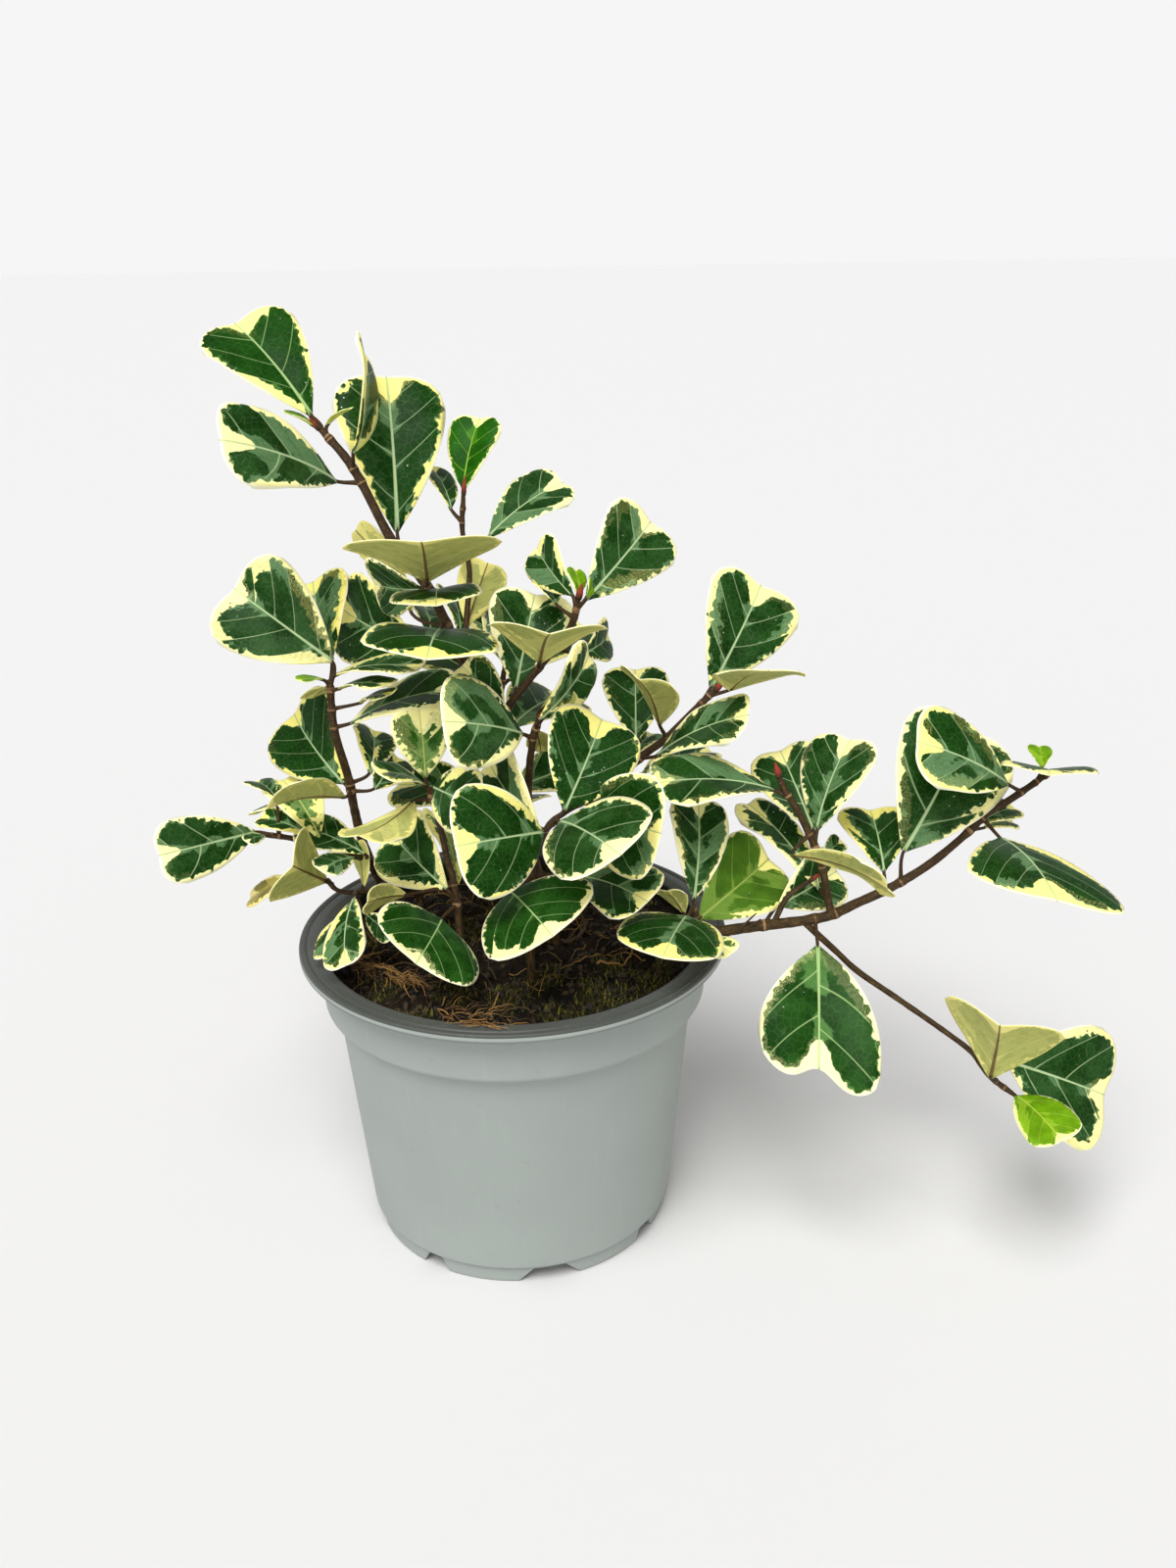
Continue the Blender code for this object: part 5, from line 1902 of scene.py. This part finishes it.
LEFT_SHOOTS = (
    Shoot(((-50, 34, 104), (-50, 34, 122), (-56, 28, 138), (-60, 22, 155), (-62, 18, 172), (-63, 16, 185),
           (-66, 14, 201), (-67, 14, 210), (-67, 14, 226)), 2.3, 1.4),
)
LEFT_LEAVES = (
    Leaf(-65, 12, 234, 163, 35, -65, 47, 42),
    Leaf(-66, 18, 234, 105, 32, -30, 42, 32),
    Leaf(-65, 14, 228, -18, 7, 5, 36, 22),
    Leaf(-64, 12, 223, -35, 10, 0, 26, 18),
    Leaf(-56, 12, 217, -45, 20, 10, 20, 12),
    Leaf(-60, 12, 209, -3, 17, 12, 44, 34),
    Leaf(-69, 12, 227, -140, 7, 0, 11, 10, look=Look.YOUNG),
    Leaf(-67, 16, 223, 130, -30, 0, 16, 14, look=Look.CREAM),
    Leaf(-65, 16, 183, 126, 29, -60, 42, 40),
    Leaf(-55, 20, 185, 90, 17, 30, 30, 20),
    Leaf(-53, 16, 180, 70, 13, 40, 24, 20),
    Leaf(-64, 8, 180, -136, 9, 35, 38, 34, 15),
)

LOW_SHOOTS = (
    Shoot(((-40, 40, 104), (-40, 40, 122), (-48, 28, 138), (-56, 16, 149), (-65, 12, 154), (-76, 11, 159),
           (-84, 10, 162), (-93, 10, 164), (-101, 10, 165)), 1.7, 1.0, 4.0),
    Shoot(((-48, 28, 138), (-55, 8, 140), (-62, -1, 143), (-69, 0, 144), (-73, 2, 148)), 1.2, 0.9),
)
LOW_LEAVES = (
    Leaf(-100, 10, 166, -141, 3, -65, 42, 26),
    Leaf(-96, 8, 165, -130, 3, -15, 10, 8),
    Leaf(-93, 18, 178, 126, 5, 5, 16, 14),
    Leaf(-75, 6, 164, 122, 26, 0, 35, 24, look=Look.CREAM),
    Leaf(-58, 5, 157, 165, 20, -25, 28, 20),
    Leaf(-62, 4, 156, -124, 5, -20, 20, 14),
    Leaf(-80, 8, 165, 153, 11, -20, 22, 13),
    Leaf(-73, 0, 148, -111, 35, 75, 30, 34, 20),
    Leaf(-84, 6, 146, 160, -25, -25, 26, 14, look=Look.FADED),
    Leaf(-59, 4, 142, 105, 45, 110, 20, 14, look=Look.OLIVE),
    Leaf(-61, -12, 146, -92, -20, 30, 36, 20),
    Leaf(-63, -8, 140, -103, -15, 35, 28, 20),
    Leaf(-57, -14, 140, -50, -12, 45, 18, 10),
)

LONG_SHOOTS = (
    Shoot(((48, -8, 104), (48, -8, 121), (58, -16, 126), (70, -23, 130), (80, -26, 132), (94, -25, 133),
           (112, -24, 134), (123, -24, 136), (133, -23, 140), (147, -22, 146), (162, -21, 155),
           (176, -20, 167), (183, -19, 174), (192, -18, 179), (205, -16, 187)), 2.6, 1.3, 4.0),
    Shoot(((74, -25, 131), (70, -30, 139), (68, -30, 145)), 1.4, 1.2),
    Shoot(((112, -24, 134), (124, -28, 123), (133, -32, 115), (148, -40, 106), (164, -48, 96), (173, -54, 90),
           (179, -58, 82), (189, -60, 74)), 1.3, 1.0),
    Shoot(((123, -24, 136), (120, -22, 152), (117, -20, 162), (110, -17, 177), (105, -15, 185),
           (103, -14, 190)), 1.5, 1.3, 6.0),
    Shoot(((100, -25, 133), (106, -23, 144), (115, -20, 149)), 1.2, 0.9, 6.0),
)
DEAD_TWIGS = (
    Shoot(((82, -26, 130), (86, -28, 133), (90, -28, 137), (93, -28, 140)), 0.7, 0.25),
    Shoot(((86, -28, 133), (91, -28, 135), (95, -27, 137)), 0.55, 0.2),
    Shoot(((84, -27, 132), (88, -27, 133), (91, -27, 136)), 0.5, 0.2),
)
LONG_LEAVES = (
    Leaf(69, -26, 146, 80, 44, 25, 42, 26),
    Leaf(71, -28, 139, 38, 18, 50, 42, 36, look=Look.OLIVE),
    Leaf(65, -38, 145, -113, -3, -5, 33, 40, belly=0.6),
    Leaf(71, -36, 133, -64, 10, 20, 20, 12, look=Look.CREAM),
    Leaf(65, -30, 142, -142, 53, 25, 16, 12),
    Leaf(101, -14, 185, -172, 8, -15, 48, 34),
    Leaf(117, -14, 168, 106, 37, -25, 38, 30),
    Leaf(118, -16, 169, 45, 55, -5, 38, 34),
    Leaf(120, -16, 143, 121, 27, 0, 50, 22),
    Leaf(103, -20, 139, 31, 12, 60, 32, 26),
    Leaf(121, -12, 155, 43, 12, 40, 14, 9),
    Leaf(107, -24, 162, -50, 0, -50, 44, 22),
    Leaf(144, -20, 152, 87, 23, 0, 34, 30),
    Leaf(150, -24, 162, 40, 46, 45, 56, 50),
    Leaf(189, -22, 187, -168, 28, -48, 46, 36),
    Leaf(206, -16, 188, -110, 19, 0, 30, 36),
    Leaf(205, -14, 190, 80, 26, 5, 12, 10, look=Look.YOUNG),
    Leaf(188, -22, 165, -82, -8, -11, 46, 56, 0, -0.2),
    Leaf(182, -16, 169, 32, 4, 20, 20, 14),
    Leaf(184, -14, 166, 30, -7, 20, 18, 10),
    Leaf(116, -34, 128, -99, -46, 0, 54, 46, 10, -0.12, 0.14, 0.7, look=Look.DEEP),
    Leaf(178, -62, 84, -107, 61, -15, 38, 48, 20, belly=0.1),
    Leaf(187, -55, 86, 4, -25, 60, 46, 50, belly=0.5),
    Leaf(188, -63, 76, -70, -9, 10, 27, 24, belly=0.5, look=Look.YOUNG),
)

REAR_SHOOTS = (
    Shoot(((-6, 40, 104), (-6, 40, 122), (-6, 46, 150), (-4, 54, 190), (0, 58, 216)), 1.9, 1.1),
)
REAR_LEAVES = (
    Leaf(0, 61, 218, 95, 30, 0, 42, 36),
    Leaf(4, 60, 212, 30, 20, 10, 40, 34),
    Leaf(-7, 58, 208, 150, 20, -10, 42, 36),
    Leaf(2, 58, 190, 60, 0, 15, 46, 40),
    Leaf(-9, 57, 184, 125, 0, -15, 46, 40),
    Leaf(2, 50, 164, 25, 5, 20, 44, 38),
    Leaf(-11, 50, 160, 160, 5, -20, 40, 34),
    Leaf(-4, 52, 150, 85, -10, 0, 46, 42),
)

LEAFY_STEMS = {
    "tall_leafy_stem": (TALL_SHOOTS, TALL_LEAVES),
    "forked_leafy_stem": (FORK_SHOOTS, FORK_LEAVES),
    "middle_leafy_stem": (MIDDLE_SHOOTS, MIDDLE_LEAVES),
    "right_leafy_stem": (RIGHT_SHOOTS, RIGHT_LEAVES),
    "twig_leafy_stem": (TWIG_SHOOTS, TWIG_LEAVES),
    "front_leafy_stem": (FRONT_SHOOTS, FRONT_LEAVES),
    "left_leafy_stem": (LEFT_SHOOTS, LEFT_LEAVES),
    "low_leafy_stem": (LOW_SHOOTS, LOW_LEAVES),
    "long_leafy_stem": (LONG_SHOOTS, LONG_LEAVES),
    "rear_leafy_stem": (REAR_SHOOTS, REAR_LEAVES),
}


@dataclass(frozen=True)
class SoftLight:
    """A wide, far light: the direction that it shines from, its width in degrees, and its strength."""

    name: str
    source: tuple[float, float, float]
    width: float
    strength: float


@dataclass
class Studio:
    """The camera at the photograph's place, a pale floor, a pale surround and soft lights.

    The surround is brightest at the height of the eye, as a white room is, and dimmer overhead and at both
    sides.
    """

    camera_place: tuple[float, float, float] = (0.0, -515.0, 380.0)
    camera_yaw: float = 3.42
    camera_pitch: float = 20.72
    camera_roll: float = -0.85
    focal_pixels: float = 1450.0
    picture_height: float = 1600.0
    sensor_width: float = 36.0
    floor_reach: float = 30.0
    floor_colour: Colour = tone(216, 215, 214)
    eye_level: Colour = tone(246, 246, 247)
    overhead: Colour = tone(158, 159, 162)
    side_strength: float = 0.75
    lights: tuple[SoftLight, ...] = (
        SoftLight("key", (-0.22, -0.55, 1.0), 34.0, 2.9),
        SoftLight("fill", (-0.25, -1.0, 0.35), 60.0, 0.75),
    )

    def camera(self) -> None:
        """Put the camera where the photograph was taken from.

        Its view runs along (sin yaw cos pitch, cos yaw cos pitch, -sin pitch), and it rolls about that.
        """
        data = bpy.data.cameras.new("camera")
        data.sensor_fit = "AUTO"
        data.sensor_width = self.sensor_width
        data.lens = self.sensor_width * self.focal_pixels / self.picture_height
        data.clip_start = 0.01
        data.clip_end = 50.0
        yaw, pitch, roll = radians(self.camera_yaw), radians(self.camera_pitch), radians(self.camera_roll)
        ahead = np.array([np.sin(yaw) * np.cos(pitch), np.cos(yaw) * np.cos(pitch), -np.sin(pitch)])
        level = np.array([np.cos(yaw), -np.sin(yaw), 0.0])
        upper = np.cross(level, ahead)
        right = level * np.cos(roll) + upper * np.sin(roll)
        up = -level * np.sin(roll) + upper * np.cos(roll)
        turn = np.identity(4)
        turn[:3, 0], turn[:3, 1], turn[:3, 2] = right, up, -ahead
        turn[:3, 3] = (np.array(self.camera_place) + FROM_AXIS) * MM
        item = bpy.data.objects.new("camera", data)
        item.matrix_world = Matrix(turn.tolist())
        bpy.context.scene.collection.objects.link(item)
        bpy.context.scene.camera = item

    def light(self, lamp: SoftLight) -> None:
        """Hang one soft light.

        Args:
            lamp: The light's direction, width and strength.
        """
        data = bpy.data.lights.new(lamp.name, "SUN")
        data.angle = radians(lamp.width)
        data.energy = lamp.strength
        item = bpy.data.objects.new(lamp.name, data)
        item.rotation_euler = (-Vector(lamp.source)).to_track_quat("-Z", "Y").to_euler()
        bpy.context.scene.collection.objects.link(item)

    def floor(self) -> None:
        """Lay the pale floor."""
        reach = self.floor_reach
        corners = [(-reach, -reach, 0.0), (reach, -reach, 0.0), (reach, reach, 0.0), (-reach, reach, 0.0)]
        mesh = bpy.data.meshes.new("floor")
        mesh.from_pydata(corners, [], [(0, 1, 2, 3)])
        graph = Graph("pale_floor")
        graph.set("Base Color", self.floor_colour)
        graph.set("Roughness", 0.9)
        mesh.materials.append(graph.material)
        item = bpy.data.objects.new("floor", mesh)
        item.location.z = -0.0002
        bpy.context.scene.collection.objects.link(item)

    def surround(self) -> None:
        """Set the pale surround: a ramp up the sky's Z, and a strength that falls with the size of its X."""
        world = bpy.data.worlds.new("surround")
        world.use_nodes = True
        tree = world.node_tree
        background = tree.nodes["Background"]
        split = tree.nodes.new("ShaderNodeSeparateXYZ")
        tree.links.new(tree.nodes.new("ShaderNodeTexCoord").outputs["Generated"], split.inputs[0])
        ramp = tree.nodes.new("ShaderNodeValToRGB")
        ramp.color_ramp.elements[0].position = 0.15
        ramp.color_ramp.elements[0].color = self.eye_level
        ramp.color_ramp.elements[1].position = 0.75
        ramp.color_ramp.elements[1].color = self.overhead
        tree.links.new(split.outputs["Z"], ramp.inputs[0])
        tree.links.new(ramp.outputs[0], background.inputs["Color"])
        aside = tree.nodes.new("ShaderNodeMath")
        aside.operation = "ABSOLUTE"
        tree.links.new(split.outputs["X"], aside.inputs[0])
        dim = tree.nodes.new("ShaderNodeMapRange")
        dim.inputs["From Min"].default_value = 0.55
        dim.inputs["From Max"].default_value = 0.95
        dim.inputs["To Min"].default_value = 1.0
        dim.inputs["To Max"].default_value = self.side_strength
        tree.links.new(aside.outputs[0], dim.inputs["Value"])
        tree.links.new(dim.outputs["Result"], background.inputs["Strength"])
        bpy.context.scene.world = world
        bpy.context.scene.view_settings.view_transform = "Standard"

    def make(self) -> None:
        """Set up the studio."""
        self.camera()
        for lamp in self.lights:
            self.light(lamp)
        self.floor()
        self.surround()


def make_pot() -> None:
    """Make the pot in its two plastics."""
    creases = (POT_FOOT_HEIGHT + 0.2, POT_COLLAR_STEP_HEIGHT + 0.3, POT_HEIGHT - 3.0)
    outside = PlasticFinish("pot_plastic", tone(150, 157, 152), tone(92, 84, 72), 0.16, 0.46, creases=creases)
    inside = PlasticFinish("pot_inside", tone(72, 75, 70), tone(96, 78, 58), 0.4, 0.42, 0.9)
    Pot(outside.material(), inside.material()).make()
    LOG.info("pot: shell with rim, collar, foot ring and drain holes")


def make_soil() -> None:
    """Make the soil and its litter."""
    chips = LitterFinish("bark_chips", tone(12, 8, 4), tone(62, 46, 22))
    fibres = LitterFinish("root_fibres", tone(40, 27, 12), tone(156, 116, 60))
    moss = LitterFinish("moss_shoots", tone(12, 14, 2), tone(100, 94, 18))
    Soil(SoilFinish().material(), chips.material(), fibres.material(), moss.material()).make()
    LOG.info("soil: ground, chips, fibres and moss")


def make_plant() -> None:
    """Make every leafy stem.  The long one also carries the dead twigs."""
    bark = BarkFinish().material()
    maker = LeafMaker({finish.look: finish.material() for finish in LEAF_FINISHES}, bark)
    for index, (name, (shoots, leaves)) in enumerate(LEAFY_STEMS.items()):
        twigs = DEAD_TWIGS if name == "long_leafy_stem" else ()
        count = LeafyStem(name, shoots, leaves, bark, maker, index + 1, twigs).make()
        LOG.info("%s: bark and %d leaves", name, count)


def main() -> None:
    """Build the potted fig piece by piece."""
    logging.basicConfig(level=logging.INFO, format="%(name)s: %(message)s")
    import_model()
    Studio().make()
    LOG.info("studio: camera, floor and lights")
    make_pot()
    make_soil()
    make_plant()


if __name__ == "__main__":
    main()
